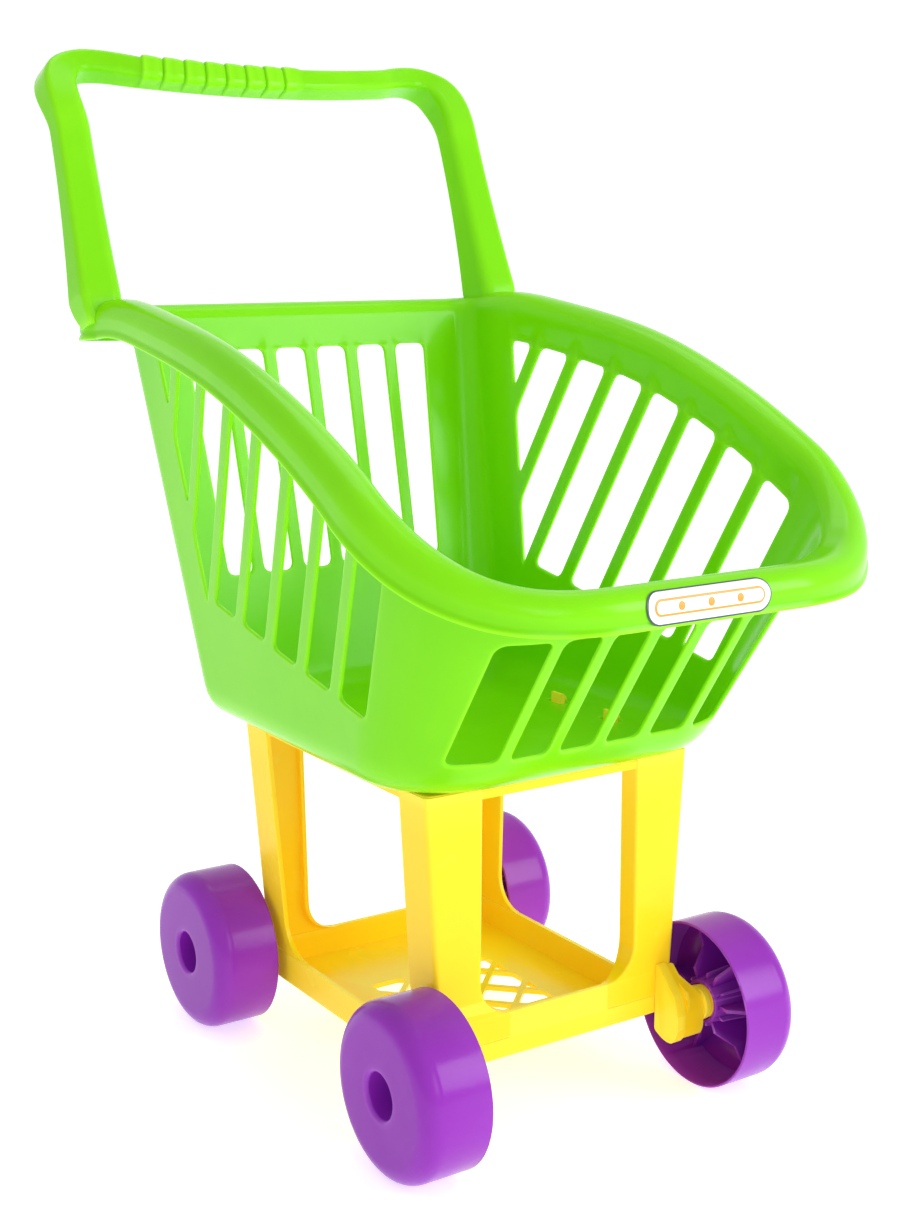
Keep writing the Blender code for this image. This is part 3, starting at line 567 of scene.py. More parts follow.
def locate(wall, across, z):
    """Where a point given by its height and its x (rear, front) or y (side) lies on the wall."""
    low, high, axis, grows = {"side": (1.0, 4.0, 1, False), "rear": (0.0, 2.0, 0, True),
                              "front": (3.0, 5.0, 0, False)}[wall]
    for _ in range(26):
        middle = (low + high) / 2
        k = (middle / 5.0) * TABLE_STEPS
        i = min(int(k), TABLE_STEPS - 1)
        f = k - i
        bottom = WALL_LOW[i] * (1 - f) + WALL_LOW[i + 1] * f
        top = WALL_TOP[i] * (1 - f) + WALL_TOP[i + 1] * f
        v = (z - bottom[2]) / (top[2] - bottom[2])
        value = bottom[axis] + (top[axis] - bottom[axis]) * v
        if (value < across) == grows:
            low = middle
        else:
            high = middle
    return (low + high) / 2, v


def channel(points):
    """Depth of the shallow channel under the rim at points of the wall."""
    x, y, z = points[:, 0], points[:, 1], points[:, 2]
    rib = SIDE_PITCH - SIDE_SLOT
    heights = np.array([hermite(RIM_HEIGHTS, value) for value in y])
    lean = y - SIDE_LEAN * (z - SIDE_FOOT)
    beside = np.abs((lean - SIDE_FIRST - rib / 2 + SIDE_PITCH / 2) % SIDE_PITCH - SIDE_PITCH / 2)
    ends = smoothstep((lean - (SIDE_FIRST - SIDE_PITCH * (SIDE_SLOTS - 1) - SIDE_SLOT)) / CHANNEL_END)
    ends = ends * smoothstep((POST_Y + REAR_LEAN * (z - REAR_TOP) - y) / CHANNEL_END)
    side = (np.abs(x) > SIDE_WALL_X) * ends
    above_side = z - (heights - SLOT_TOP_DROP)
    centres = np.array(REAR_RIBS)
    beside_rear = np.min(np.abs(np.abs(x)[:, None] - centres[None, :]), axis=1)
    rear = REAR_SHARE * (y > REAR_WALL_Y) * smoothstep((REAR_CHANNEL - np.abs(x)) / 0.004)
    above_rear = z - REAR_TOP
    depth = np.zeros(len(points))
    for where, distance, above, width in ((side, beside, above_side, rib / 2),
                                          (rear, beside_rear, above_rear, REAR_RIB_HALF)):
        between = smoothstep((distance - width * 0.45) / (width * 0.7))
        starts = smoothstep((above + 0.0008) / 0.0022)
        ridge = (1 - between) * (1 - smoothstep(above / 0.011))
        depth += where * starts * (1 - ridge)
    return depth


def edge_distances(plain, rings):
    """Distance from a rounded edge: far for the plain points, then loop by loop round each opening."""
    distances = [1.0] * plain
    for loops in rings:
        for amount, loop in zip(EDGE_LOOPS, loops):
            distances += [amount] * len(loop)
    return distances


def add_wall(sheet, us):
    """The slotted wall: a plain grid, with rings of points round each slot's rounded edge."""
    steps = np.linalg.norm(np.diff((WALL_LOW + WALL_TOP) / 2, axis=0), axis=1)
    run = np.concatenate([[0.0], np.cumsum(steps)])

    def flat(places):
        return [(float(np.interp(u, TABLE_U, run)), v * FLAT_HEIGHT) for u, v in places]

    slots = []
    for wall, polygon in side_slot_outlines():
        edge = resample(round_polygon(polygon, SLOT_ROUND, 6), 0.0042)
        loops = [grown(edge, amount) for amount in EDGE_LOOPS]
        slots.append((wall, edge, [[locate(wall, p.x, p.y) for p in loop] for loop in loops]))
    levels = list(np.linspace(0.0, 0.76, 24)) + list(np.linspace(0.78, 1.0, 14))     # finer under the rim
    grid = [(u, v) for v in levels for u in us]
    places, _ = wall_points([g[0] for g in grid], [g[1] for g in grid])
    free = []
    for (u, v), place in zip(grid, places):
        border = v in (0.0, 1.0) or u in (0.0, 5.0)
        if border or not any(near_slot(wall, edge, place, u) for wall, edge, _ in slots):
            free.append((u, v))
    rings = [[flat(loop) for loop in loops] for _, _, loops in slots]
    coords, faces, open_edges = triangulate(flat(free), rings)
    u_all = np.interp([c[0] for c in coords], run, TABLE_U)
    v_all = np.array([c[1] / FLAT_HEIGHT for c in coords])
    for index, (u, v) in enumerate(free):
        u_all[index], v_all[index] = u, v
    where, normals = wall_points(u_all, v_all)
    fade = 1 - smoothstep((v_all - 0.90) / 0.10)
    where = where + normals * (channel(where) * CHANNEL_DEPTH * fade)[:, None]
    sheet.add(where, normals, half_thickness(edge_distances(len(free), rings)), faces, open_edges)


def add_rolls(sheet, us, columns):
    """The rounded foot of the wall, and the rolled rim with its open lower lip."""
    count = len(us)
    for rows, ends in (([c.fillet(7) for c in columns], "fillet"), ([c.rim() for c in columns], "rim")):
        depth = len(rows[0])
        grid = np.array([[c.place(p) for p in row] for c, row in zip(columns, rows)])
        du = np.gradient(grid, np.array(us), axis=0)
        dt = np.gradient(grid, axis=1)
        normals = np.cross(dt, du).reshape(-1, 3)
        normals = unit_rows(normals).reshape(count, depth, 3)
        normals[0, :, 0] = 0.0
        normals[-1, :, 0] = 0.0
        if ends == "fillet":
            normals[:, 0] = (0.0, 0.0, -1.0)
            normals[:, -1] = wall_points(us, np.zeros(count))[1]
        else:
            normals[:, 0] = wall_points(us, np.ones(count))[1]
        normals = unit_rows(normals.reshape(-1, 3))
        halves = np.full((count, depth), WALL / 2)
        faces = [[i * depth + j, (i + 1) * depth + j, (i + 1) * depth + j + 1, i * depth + j + 1]
                 for i in range(count - 1) for j in range(depth - 1)]
        edges = []
        if ends == "rim":
            for back, part in zip((3, 2, 1), LIP_HALVES):
                halves[:, depth - back] = WALL / 2 - EDGE + EDGE * part
            edges = [(i * depth + depth - 1, (i + 1) * depth + depth - 1) for i in range(count - 1)]
        sheet.add(grid.reshape(-1, 3), normals, halves.reshape(-1), faces, edges)


def add_floor(sheet, columns):
    """The flat floor with the holes that the frame's hooks come up through."""
    border = [c.place(c.fillet(1)[0])[:2] for c in columns]
    middle = [(0.0, y) for y in np.linspace(border[0][1], border[-1][1], 22)[1:-1]]
    inner = [(x, y) for x in np.linspace(*FLOOR_GRID_X) for y in np.linspace(*FLOOR_GRID_Y)
             if all(abs(x - HOOK_X) > HOOK_HOLE[0] + HOOK_CLEAR or abs(y - hook_y) > HOOK_HOLE[1] + HOOK_CLEAR
                    for hook_y in HOOK_SPOTS) and inside_convex((x, y), border, 0.004)]
    plain = border + middle + inner
    rings = []
    for hook_y in HOOK_SPOTS:
        corners = [(HOOK_X + a * HOOK_HOLE[0], hook_y + b * HOOK_HOLE[1])
                   for a, b in ((-1, -1), (1, -1), (1, 1), (-1, 1))]
        edge = resample(round_polygon(corners, 0.0008, 3), 0.0025)
        rings.append([[tuple(p) for p in grown(edge, amount)] for amount in EDGE_LOOPS])
    coords, faces, open_edges = triangulate(plain, rings)
    where = [(x, y, FLOOR_Z + WALL / 2) for x, y in coords]
    halves = half_thickness(edge_distances(len(plain), rings))
    sheet.add(where, [(0.0, 0.0, -1.0)] * len(where), halves, faces, open_edges)


def basket_sheet():
    sheet = Sheet()
    us = [part + k / count for part, count in enumerate(SEGMENTS) for k in range(count)] + [5.0]
    columns = [Column(u) for u in us]
    add_wall(sheet, us)
    add_rolls(sheet, us, columns)
    add_floor(sheet, columns)
    return sheet


def inside_convex(point, border, margin):
    """Whether a point of the floor lies well inside the floor's border (right half)."""
    nearest = min(border, key=lambda b: (b[0] - point[0]) ** 2 + (b[1] - point[1]) ** 2)
    away = math.hypot(nearest[0] - point[0], nearest[1] - point[1])
    return away > margin and (abs(point[0]) < nearest[0] or abs(point[1]) < abs(nearest[1]))


def near_slot(wall, edge, place, u):
    """Whether a wall point lies in a slot or within the slot's rounded border."""
    low, high = {"side": (1.0, 4.2), "rear": (0.0, 1.6), "front": (3.2, 5.0)}[wall]
    if not low <= u <= high:
        return False
    point = Vector((place[1] if wall == "side" else place[0], place[2]))
    turns = set()
    nearest = 1.0
    for a, b in zip(edge, edge[1:] + edge[:1]):
        step = b - a
        if step.length < 1e-9:
            continue
        t = max(0.0, min(1.0, (point - a).dot(step) / step.length_squared))
        nearest = min(nearest, (point - a - step * t).length)
        turns.add((step.x * (point.y - a.y) - step.y * (point.x - a.x)) > 0)
    return len(turns) == 1 or nearest < EDGE_LOOPS[-1] + 0.0011


def make_basket():
    piece = place_piece("basket_shell", basket_sheet().build(), [GREEN], "cart", ["basket"])
    even_shading(piece, False)


make_basket()


# ------------------------------------------------------------------ handle

HANDLE_FOOT = Vector((0.1246, 0.1434, 0.3925))
HANDLE_KNEE = Vector((0.1228, 0.1762, 0.4810))
HORN_LOW = Vector((0.1223, 0.1852, 0.5054))    # the corners sweep up and back
HORN_HIGH = Vector((0.1230, 0.2145, 0.5215))
HORN_BACK, HORN_OUT = 0.0055, 0.0030           # the section grows rearward and outward in the corners
HORN_SLIM = 0.35                               # and narrows on the inside by this share
BAR_REACH = 0.080                  # the bar is a gentle arc between the two corners
BAR_MIDDLE = (0.1845, 0.5105)
BAR_RISE = (0.0090, 0.0036)
HANDLE_SINK = 0.0150               # the legs start this far down inside the rim
FOOT_TUCK = 0.0200                 # the legs draw in over this height where they enter the rim
LEG_FOOT = (0.0138, 0.0100, 0.0105)    # half width, front, back of the section
LEG_TOP = (0.0112, 0.0072, 0.0052)
BAR_SECTION = (0.0072, 0.0062, 0.0060)
GRIP_PADS = 8
GRIP_START, GRIP_END = -0.0765, 0.0180
PAD_PROFILE = ((0.00, -0.0002), (0.06, 0.0010), (0.16, 0.0013),     # share of a pad's length, swelling
               (0.45, 0.0012), (0.75, 0.0009), (0.94, 0.0005))
HORN_STEPS = 22


def bar_point(x):
    share = (x / BAR_REACH) ** 2
    return Vector((x, BAR_MIDDLE[0] + BAR_RISE[0] * share, BAR_MIDDLE[1] + BAR_RISE[1] * share))


def handle_section(centre, across, rearward, wide, ridge, back, swelling, bend):
    """Flat front with soft corners, the inner one bevelled, and a flat back with crisp edges."""
    outer, inner = wide + HORN_OUT * bend, wide * (1 - HORN_SLIM * bend)
    corners = [(outer, back), (outer * 0.96, -ridge), (-inner * 0.66, -ridge), (-inner, back)]
    reach = [0.0010, min(wide, ridge) * 0.52, wide * 0.46, 0.0010]
    points = []
    for p in round_polygon(corners, reach, 8):
        lift = swelling * min(1.0, max(0.0, (0.35 * back - p.y) / (0.6 * back)))
        points.append(p * (1 + lift / max(p.length, 1e-6)))
    return [centre + across * p.x + rearward * p.y for p in points]


def make_handle():
    rise = (HANDLE_KNEE - HANDLE_FOOT).normalized()
    right = [(HANDLE_FOOT - rise * HANDLE_SINK, 0.0)]
    right += [(HANDLE_FOOT + rise * step, 0.0) for step in (-0.011, -0.007, -0.0035, 0.0, 0.003)]
    right += [(HANDLE_FOOT.lerp(HANDLE_KNEE, k / 14), 0.0) for k in range(1, 14)]
    bar_end = bar_point(BAR_REACH)
    for k in range(HORN_STEPS + 1):
        t = k / HORN_STEPS
        point = ((1 - t) ** 3 * HANDLE_KNEE + 3 * t * (1 - t) ** 2 * HORN_LOW
                 + 3 * t * t * (1 - t) * HORN_HIGH + t ** 3 * bar_end)
        right.append((point, 0.0))
    horn_start = len(right) - HORN_STEPS - 1
    left = [(Vector((-p.x, p.y, p.z)), s) for p, s in reversed(right)]
    pitch = (GRIP_END - GRIP_START) / GRIP_PADS
    bar = [(bar_point(x), 0.0) for x in (0.074, 0.060, 0.045, 0.030, GRIP_END + 0.0012)]
    for pad in reversed(range(GRIP_PADS)):
        for part, swelling in reversed(PAD_PROFILE):
            bar.append((bar_point(GRIP_START + pitch * (pad + part)), swelling))
    path = right + bar + left
    plane = Vector((0, rise.z, -rise.y))
    last = len(path) - 1
    rings = []
    for index, (point, swelling) in enumerate(path):
        along = Vector((0, 0, 0))
        if index > 0:
            along += (point - path[index - 1][0]).normalized()
        if index < last:
            along += (path[index + 1][0] - point).normalized()
        along.normalize()
        across = plane.cross(along).normalized()
        climb = min(1.0, max(0.0, (point.z - HANDLE_FOOT.z) / (HANDLE_KNEE.z - HANDLE_FOOT.z)))
        level = float(smoothstep(abs(along.x))) ** 1.5
        tuck = min(1.0, max(0.0, (HANDLE_FOOT.z + 0.0040 - point.z) / FOOT_TUCK)) ** 2
        sizes = []
        for foot, top, bar_size, drawn in zip(LEG_FOOT, LEG_TOP, BAR_SECTION, (0.30, 0.25, 0.60)):
            leg = (top + (foot - top) * (1 - climb) ** 2) * (1 - drawn * tuck)
            sizes.append(leg + (bar_size - leg) * level)
        step = min(max(min(index, last - index) - horn_start, 0), HORN_STEPS) / HORN_STEPS
        bend = math.sin(math.pi * step) ** 1.5
        sizes[2] += HORN_BACK * bend
        rings.append(handle_section(point, across, along.cross(across).normalized(), *sizes, swelling, bend))
    builder = skin(bmesh.new(), rings)
    piece = place_piece("push_handle", builder, [GREEN], "cart", ["handle"], 60)
    even_shading(piece, True)


make_handle()


# ------------------------------------------------------------------ base

BASE_HALF, BASE_FRONT, BASE_REAR, BASE_TOP = 0.0775, -0.1005, 0.0805, 0.1750
BASE_TAPER, REAR_TAPER = 0.060, 0.050
FRAME_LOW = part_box("top_frame")[0][2]
FRAME_WIDTH, FRAME_INSET = 0.0090, 0.0009
LEG_WALL, LEG_DEPTH = 0.0025, 0.0240
INNER_FLANGE = {-1: 0.0100, 1: 0.0040}     # depth of the flange beside the window, front and rear legs
FLANGE_STUB = 0.0014               # what is left of it at the tray
LEG_TOP_GAP = 0.0006               # the legs stop this far below the basket
LEG_ROUND = (0.0030, 0.0006, 0.0006, 0.0012,    # corners of the section, from the outer face on
             0.0012, 0.0006, 0.0006, 0.0018)
LEG_FLANGE_TOP, LEG_FLANGE_FOOT = 0.0315, 0.0235
WINDOW_ROUND = 0.018               # radius where a leg runs into the tray's wall
TRAY_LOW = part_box("tray")[0][2]
TRAY_WALL_TOP = 0.0470
TRAY_SILL = 0.0600                 # the front wall stands higher than the other three
TRAY_FLOOR, TRAY_WALL = 0.0025, 0.0025
TRAY_CHIN = (0.0130, 0.0080)       # depth and height of the sloping underside below the front wall
TRAY_ROUND = 0.012
SILL_HALF, SILL_TALL, SILL_BACK = 0.0300, 0.016, 0.0001    # the raised part of the front wall
LATTICE_PITCH, LATTICE_RIB = 0.0205, 0.0032
LATTICE_REACH, LATTICE_LEAST = (0.0365, 0.0320), 0.004     # half extent; narrower openings stay closed
CUT_PAST = 0.003                   # cutting prisms run past the floor by this much


def yellow_piece(name, builder, node, smooth_angle=35):
    return place_piece(name, builder, [YELLOW], "cart", [node], smooth_angle)


def applied(piece):
    """Freeze the piece's modifiers into its mesh."""
    graph = bpy.context.evaluated_depsgraph_get()
    mesh = bpy.data.meshes.new_from_object(piece.evaluated_get(graph))
    piece.modifiers.clear()
    piece.data = mesh


def combine(piece, builder, operation="UNION"):
    """Join (or cut) another closed shape into the piece for good."""
    bmesh.ops.recalc_face_normals(builder, faces=builder.faces)
    mesh = bpy.data.meshes.new("other")
    builder.to_mesh(mesh)
    builder.free()
    other = bpy.data.objects.new("other", mesh)
    bpy.context.scene.collection.objects.link(other)
    modifier = piece.modifiers.new("Join", "BOOLEAN")
    modifier.operation = operation
    modifier.solver = "EXACT"
    modifier.object = other
    bpy.context.view_layer.update()
    applied(piece)
    bpy.data.objects.remove(other, do_unlink=True)


def prism(builder, points, low, high, axis):
    def place(point, along):
        return {"x": (along, point[0], point[1]), "y": (point[0], along, point[1]),
                "z": (point[0], point[1], along)}[axis]
    return skin(builder, [[place(p, low) for p in points], [place(p, high) for p in points]])


def base_half(z):
    return BASE_HALF - BASE_TAPER * (BASE_TOP - z)


def base_end(z, toward):
    return BASE_FRONT if toward < 0 else BASE_REAR - REAR_TAPER * (BASE_TOP - z)


def make_top_frame():
    half, front, rear = BASE_HALF - FRAME_INSET, BASE_FRONT + FRAME_INSET, BASE_REAR - FRAME_INSET
    outer = [(-half, front), (half, front), (half, rear), (-half, rear)]
    inner = [(x - math.copysign(FRAME_WIDTH, x), y - math.copysign(FRAME_WIDTH, y)) for x, y in outer]
    outer, inner = round_polygon(outer, 0.0060, 6), round_polygon(inner, 0.0050, 6)
    rings = [[(p.x, p.y, z) for p in loop] for loop, z in
             ((outer, FRAME_LOW), (outer, BASE_TOP), (inner, BASE_TOP), (inner, FRAME_LOW))]
    piece = yellow_piece("frame_ring", skin(bmesh.new(), rings, closed_path=True), "top_frame", 40)
    hooks = bmesh.new()
    for y in HOOK_SPOTS:
        for side in (1, -1):
            x = HOOK_X * side
            points = [(x - HOOK_HALF * side, BASE_TOP - 0.003), (x + HOOK_HALF * side, BASE_TOP - 0.003),
                      (x + HOOK_HALF * side, HOOK_TOP - 0.0035), (x + 0.0026 * side, HOOK_TOP - 0.0030),
                      (x + 0.0022 * side, HOOK_TOP - 0.0016), (x + HOOK_HALF / 2 * side, HOOK_TOP),
                      (x - HOOK_HALF * side, HOOK_TOP)]
            prism(hooks, points, y - HOOK_WIDE / 2, y + HOOK_WIDE / 2, "y")
    combine(piece, hooks)
    soften(piece, 0.0007, 3)


def fillet_reach(height):
    """How far a window's rounded lower corner still reaches in at a height above the wall."""
    above = min(max(height, 0.0), WINDOW_ROUND)
    return WINDOW_ROUND - math.sqrt(WINDOW_ROUND ** 2 - (WINDOW_ROUND - above) ** 2)


def leg_ring(z, low, sill, side, toward):
    """Channel section of a leg at one height: front face, outer flange and a shallower inner one."""
    climb = (z - low) / (FRAME_LOW - low)
    corner = fillet_reach(z - sill)
    flange = LEG_FLANGE_FOOT + (LEG_FLANGE_TOP - LEG_FLANGE_FOOT) * climb + corner
    outer_x = base_half(z)
    inner_x = outer_x - flange
    face_y = base_end(z, toward)
    back_y = face_y - toward * (LEG_DEPTH + fillet_reach(z - low))
    wall_y = face_y - toward * LEG_WALL
    rib_y = wall_y - toward * max(FLANGE_STUB, INNER_FLANGE[toward] * (1 - corner / WINDOW_ROUND))
    points = [(outer_x, face_y), (outer_x, back_y), (outer_x - LEG_WALL, back_y),
              (outer_x - LEG_WALL, wall_y), (inner_x + LEG_WALL, wall_y), (inner_x + LEG_WALL, rib_y),
              (inner_x, rib_y), (inner_x, face_y)]
    return [(p.x * side, p.y, z) for p in round_polygon(points, LEG_ROUND, 4)]


def make_leg(name, side, toward):
    node = "leg_" + name
    low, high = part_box(node)[0][2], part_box(node)[1][2]
    sill = TRAY_SILL if toward < 0 else low
    levels = {low + WINDOW_ROUND, sill + WINDOW_ROUND, BASE_TOP - LEG_TOP_GAP}
    for start in (low, sill):
        levels |= {start + WINDOW_ROUND * (1 - math.cos(math.pi / 2 * k / 10)) for k in range(10)}
    levels |= {sill + WINDOW_ROUND + (high - sill - WINDOW_ROUND) * k / 6 for k in range(1, 7)}
    rings = [leg_ring(z, low, sill, side, toward) for z in sorted(levels)]
    piece = yellow_piece("leg_shell_" + name, skin(bmesh.new(), rings), node)
    even_shading(piece, True)


def make_tray():
    chin, chin_height = TRAY_CHIN
    rings = []
    chin_top = TRAY_LOW + chin_height
    for inset, chin_inset, z in ((0.0, chin, TRAY_LOW), (0.0, 0.0, chin_top), (0.0, 0.0, TRAY_WALL_TOP),
                                 (TRAY_WALL, 0.0, TRAY_WALL_TOP), (TRAY_WALL, 0.0, chin_top + TRAY_FLOOR),
                                 (TRAY_WALL, chin, TRAY_LOW + TRAY_FLOOR)):
        x = base_half(z) - inset
        front, rear = base_end(z, -1) + inset + chin_inset, base_end(z, 1) - inset
        corners = [(-x, front), (x, front), (x, rear), (-x, rear)]
        rings.append([(p.x, p.y, z) for p in round_polygon(corners, TRAY_ROUND - inset, 8)])
    piece = yellow_piece("tray_pan", skin(bmesh.new(), rings), "tray")
    sill = [(side * SILL_HALF, TRAY_SILL - drop)
            for side, drop in ((-1, SILL_TALL), (1, SILL_TALL), (1, 0.0), (-1, 0.0))]
    sill_front = BASE_FRONT + SILL_BACK
    combine(piece, prism(bmesh.new(), sill, sill_front, sill_front + TRAY_WALL, "y"))
    holes = bmesh.new()
    reach = (LATTICE_PITCH - LATTICE_RIB) / math.sqrt(2)
    step = LATTICE_PITCH / math.sqrt(2)
    middle = (BASE_FRONT + base_end(TRAY_LOW, 1)) / 2
    for i in range(-5, 6):
        for j in range(-5, 6):
            x = (i - j) * step
            y = middle + (i + j) * step
            cell = [(x - reach, y), (x, y - reach), (x + reach, y), (x, y + reach)]
            for axis, centre in ((0, 0.0), (1, middle)):
                for sign in (1, -1):
                    limit = centre + sign * LATTICE_REACH[axis]
                    cell = clipped(cell, lambda p: sign * (p[axis] - limit))
            span = [max(p[k] for p in cell) - min(p[k] for p in cell) for k in (0, 1)] if cell else [0.0]
            if min(span) > LATTICE_LEAST:
                prism(holes, round_polygon(cell, 0.0010, 3), TRAY_LOW - CUT_PAST,
                      TRAY_LOW + TRAY_FLOOR + CUT_PAST, "z")
    combine(piece, holes, "DIFFERENCE")
    soften(piece, 0.0005, 2)


BRACKET_IN, BRACKET_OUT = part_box("axle_bracket_front_left")[0][0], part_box("axle_bracket_front_left")[1][0]
BRACKET_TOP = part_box("axle_bracket_front_left")[1][2]
BRACKET_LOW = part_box("axle_bracket_front_left")[0][2]
BRACKET_SHOULDER = ((0.0700, 0.0700), (0.0700, 0.0585), (0.0792, 0.0470), (0.0900, 0.0470), (0.0900, 0.0700))
BRACKET_HEEL = 0.0290              # where the outline leaves the leg's face
BRACKET_SOLE = (-0.0030, 0.0040)   # the flat underside, inwards and outwards from the axle
BRACKET_NOSE = ((0.0078, -0.0110), (0.0081, -0.0010), (0.0055, 0.0085))    # outwards and up from the axle
BRACKET_ROUND = (0.0004, 0.0015, 0.0030, 0.0032, 0.0035, 0.0030, 0.0040, 0.0004)
BLOCK_INSET = 0.0012
PLATE = 0.0052                     # the inner plate of a bracket stands proud of its block
RIB_OUT, RIB_THICK = 0.0022, 0.0012    # stiffening rib beside the plate


def axle_of(name):
    joint = next(j for j in frame["record"]["behaviour"]["joints"] if j["child"] == "wheel_" + name)
    return Vector(joint["pos_m"])


def bracket_outline(axle, toward, inset):
    """Side view: down the leg's face, under the axle, up a blunt nose and back to the leg."""
    top = BRACKET_TOP - inset
    wall = base_end(top, toward) + 0.0003 * toward
    points = [(wall, top), (wall, BRACKET_HEEL + inset)]
    points += [(axle.y + toward * out, BRACKET_LOW + inset) for out in BRACKET_SOLE]
    points += [(axle.y + toward * (out - inset), axle.z + up) for out, up in BRACKET_NOSE]
    points.append((wall + toward * 0.0018, top))
    return round_polygon(points, BRACKET_ROUND, 5)


def make_bracket(name, side, toward):
    node = "axle_bracket_" + name
    axle = axle_of(name)
    outline_points = bracket_outline(axle, toward, 0.0)
    plate = prism(bmesh.new(), outline_points, side * BRACKET_IN, side * (BRACKET_IN + PLATE), "x")
    piece = yellow_piece("bracket_" + name, plate, node)
    outline_points = bracket_outline(axle, toward, BLOCK_INSET)
    block_start = side * (BRACKET_IN + PLATE * 0.5)
    combine(piece, prism(bmesh.new(), outline_points, block_start, side * BRACKET_OUT, "x"))
    outline_points = [(side * x, z) for x, z in BRACKET_SHOULDER]
    combine(piece, prism(bmesh.new(), outline_points, axle.y - 0.04, axle.y + 0.04, "y"), "DIFFERENCE")
    rib_x = BRACKET_IN + PLATE + RIB_OUT
    front = axle.y + toward * 0.0064
    rib = [(base_end(0.06, toward) + toward * 0.0010, 0.0600),
           (base_end(0.05, toward) + toward * 0.0010, 0.0440), (front, axle.z - 0.0040),
           (front + toward * 0.0008, axle.z + 0.0060), (front - toward * 0.0015, axle.z + 0.0105)]
    combine(piece, prism(bmesh.new(), rib, side * rib_x, side * (rib_x + RIB_THICK), "x"))
    soften(piece, 0.0008, 3)


def lathe(builder, profile, segments, centre, toward):
    """Revolve (distance along X, radius) points about an axis along X; the first and last lie on the axis."""
    def vertex(x, r, turn=0.0):
        return builder.verts.new((toward * x, centre.y + r * math.cos(turn), centre.z + r * math.sin(turn)))

    ends = [vertex(profile[k][0], 0.0) for k in (0, -1)]
    spokes = []
    for k in range(segments):
        turn = 2 * math.pi * k / segments
        spokes.append([vertex(x, r, turn) for x, r in profile[1:-1]])
    for first, second in zip(spokes, spokes[1:] + spokes[:1]):
        builder.faces.new((ends[0], first[0], second[0]))
        builder.faces.new((ends[1], second[-1], first[-1]))
        for k in range(len(first) - 1):
            builder.faces.new((first[k], first[k + 1], second[k + 1], second[k]))
    return builder


# collar, groove and tip: distance from the root or tip, drop from the radius
STUB_ROOT = ((0.0, 0.0004), (0.0004, 0.0), (0.0030, 0.0), (0.0034, 0.0004), (0.0036, 0.0009),
             (0.0042, 0.0009), (0.0046, 0.0003))
STUB_TIP = ((0.0022, 0.0003), (0.0010, 0.0010), (0.0002, 0.0022), (0.0, 0.0030))


def make_stub(name, side):
    node = "stub_axle_" + name
    low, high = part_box(node)
    start, tip = min(abs(low[0]), abs(high[0])), max(abs(low[0]), abs(high[0]))
    radius = (high[2] - low[2]) / 2
    profile = [(start, 0.0)]
    profile += [(start + x, radius - drop) for x, drop in STUB_ROOT]
    profile += [(tip - x, radius - drop) for x, drop in STUB_TIP]
    profile.append((tip, 0.0))
    yellow_piece("stub_" + name, lathe(bmesh.new(), profile, 64, axle_of(name), side), node, 40)


make_top_frame()
make_tray()
for end, toward in ENDS:
    for side, side_name in SIDES:
        make_leg(end + "_" + side_name, side, toward)
        make_bracket(end + "_" + side_name, side, toward)
        make_stub(end + "_" + side_name, side)


# ------------------------------------------------------------------ wheels

WHEEL_WALL = 0.0022
WHEEL_SHOULDER, SHOULDER_STEPS = 0.010, 10
HUB_RADIUS = 0.0125
HUB_FACE, HUB_WEB = 0.0822, 0.0940
RECESS, RECESS_ROUND, RECESS_STEPS = 0.0110, 0.0020, 4
SOCKET = 0.0092
RIM_EDGE = 0.0013                  # the open edge of the rim is this thick
WHEEL_RIBS = 6
RIB_HALF, FIN_HALF = 0.0009, 0.0006    # half thickness of the long ribs and of the short fins at the hub


def wheel_profile(inner, outer, radius):
    wall = WHEEL_WALL
    shoulder = []
    for k in range(SHOULDER_STEPS + 1):
        turn = math.radians(90 * k / SHOULDER_STEPS)
        shoulder.append((outer - WHEEL_SHOULDER * (1 - math.sin(turn)),
                         radius - WHEEL_SHOULDER * (1 - math.cos(turn))))
    inside = [(x - wall * 0.8, r - wall * 0.8) for x, r in reversed(shoulder[1:-1])]
    recess = []
    for k in range(RECESS_STEPS + 1):
        turn = math.radians(90 * k / RECESS_STEPS)
        recess.append((outer - RECESS_ROUND * (1 - math.cos(turn)),
                       RECESS + RECESS_ROUND - RECESS_ROUND * math.sin(turn)))
    return ([(HUB_WEB - 0.0004, 0.0), (HUB_WEB - 0.0004, SOCKET - 0.0004), (HUB_WEB - 0.0010, SOCKET),
             (HUB_FACE + 0.0004, SOCKET), (HUB_FACE, SOCKET + 0.0004), (HUB_FACE, SOCKET + 0.0016),
             (HUB_FACE + 0.0005, SOCKET + 0.0021), (outer - wall - 0.0020, HUB_RADIUS + 0.0018),
             (outer - wall - 0.0006, HUB_RADIUS + 0.0024), (outer - wall, HUB_RADIUS + 0.0040),
             (outer - wall, radius - WHEEL_SHOULDER)]
            + inside
            + [(outer - WHEEL_SHOULDER, radius - wall), (inner + 0.0060, radius - wall),
               (inner + 0.0004, radius - RIM_EDGE), (inner, radius - RIM_EDGE + 0.0004),
               (inner, radius - 0.0005), (inner + 0.0005, radius)]
            + shoulder
            + [(outer + 0.00005, RECESS + 0.0075), (outer - 0.0001, RECESS + 0.0060)]
            + recess
            + [(HUB_WEB + 0.0030, RECESS - 0.0012), (HUB_WEB + 0.0021, RECESS - 0.0018),
               (HUB_WEB + 0.0018, RECESS - 0.0030), (HUB_WEB + 0.0018, 0.0)])


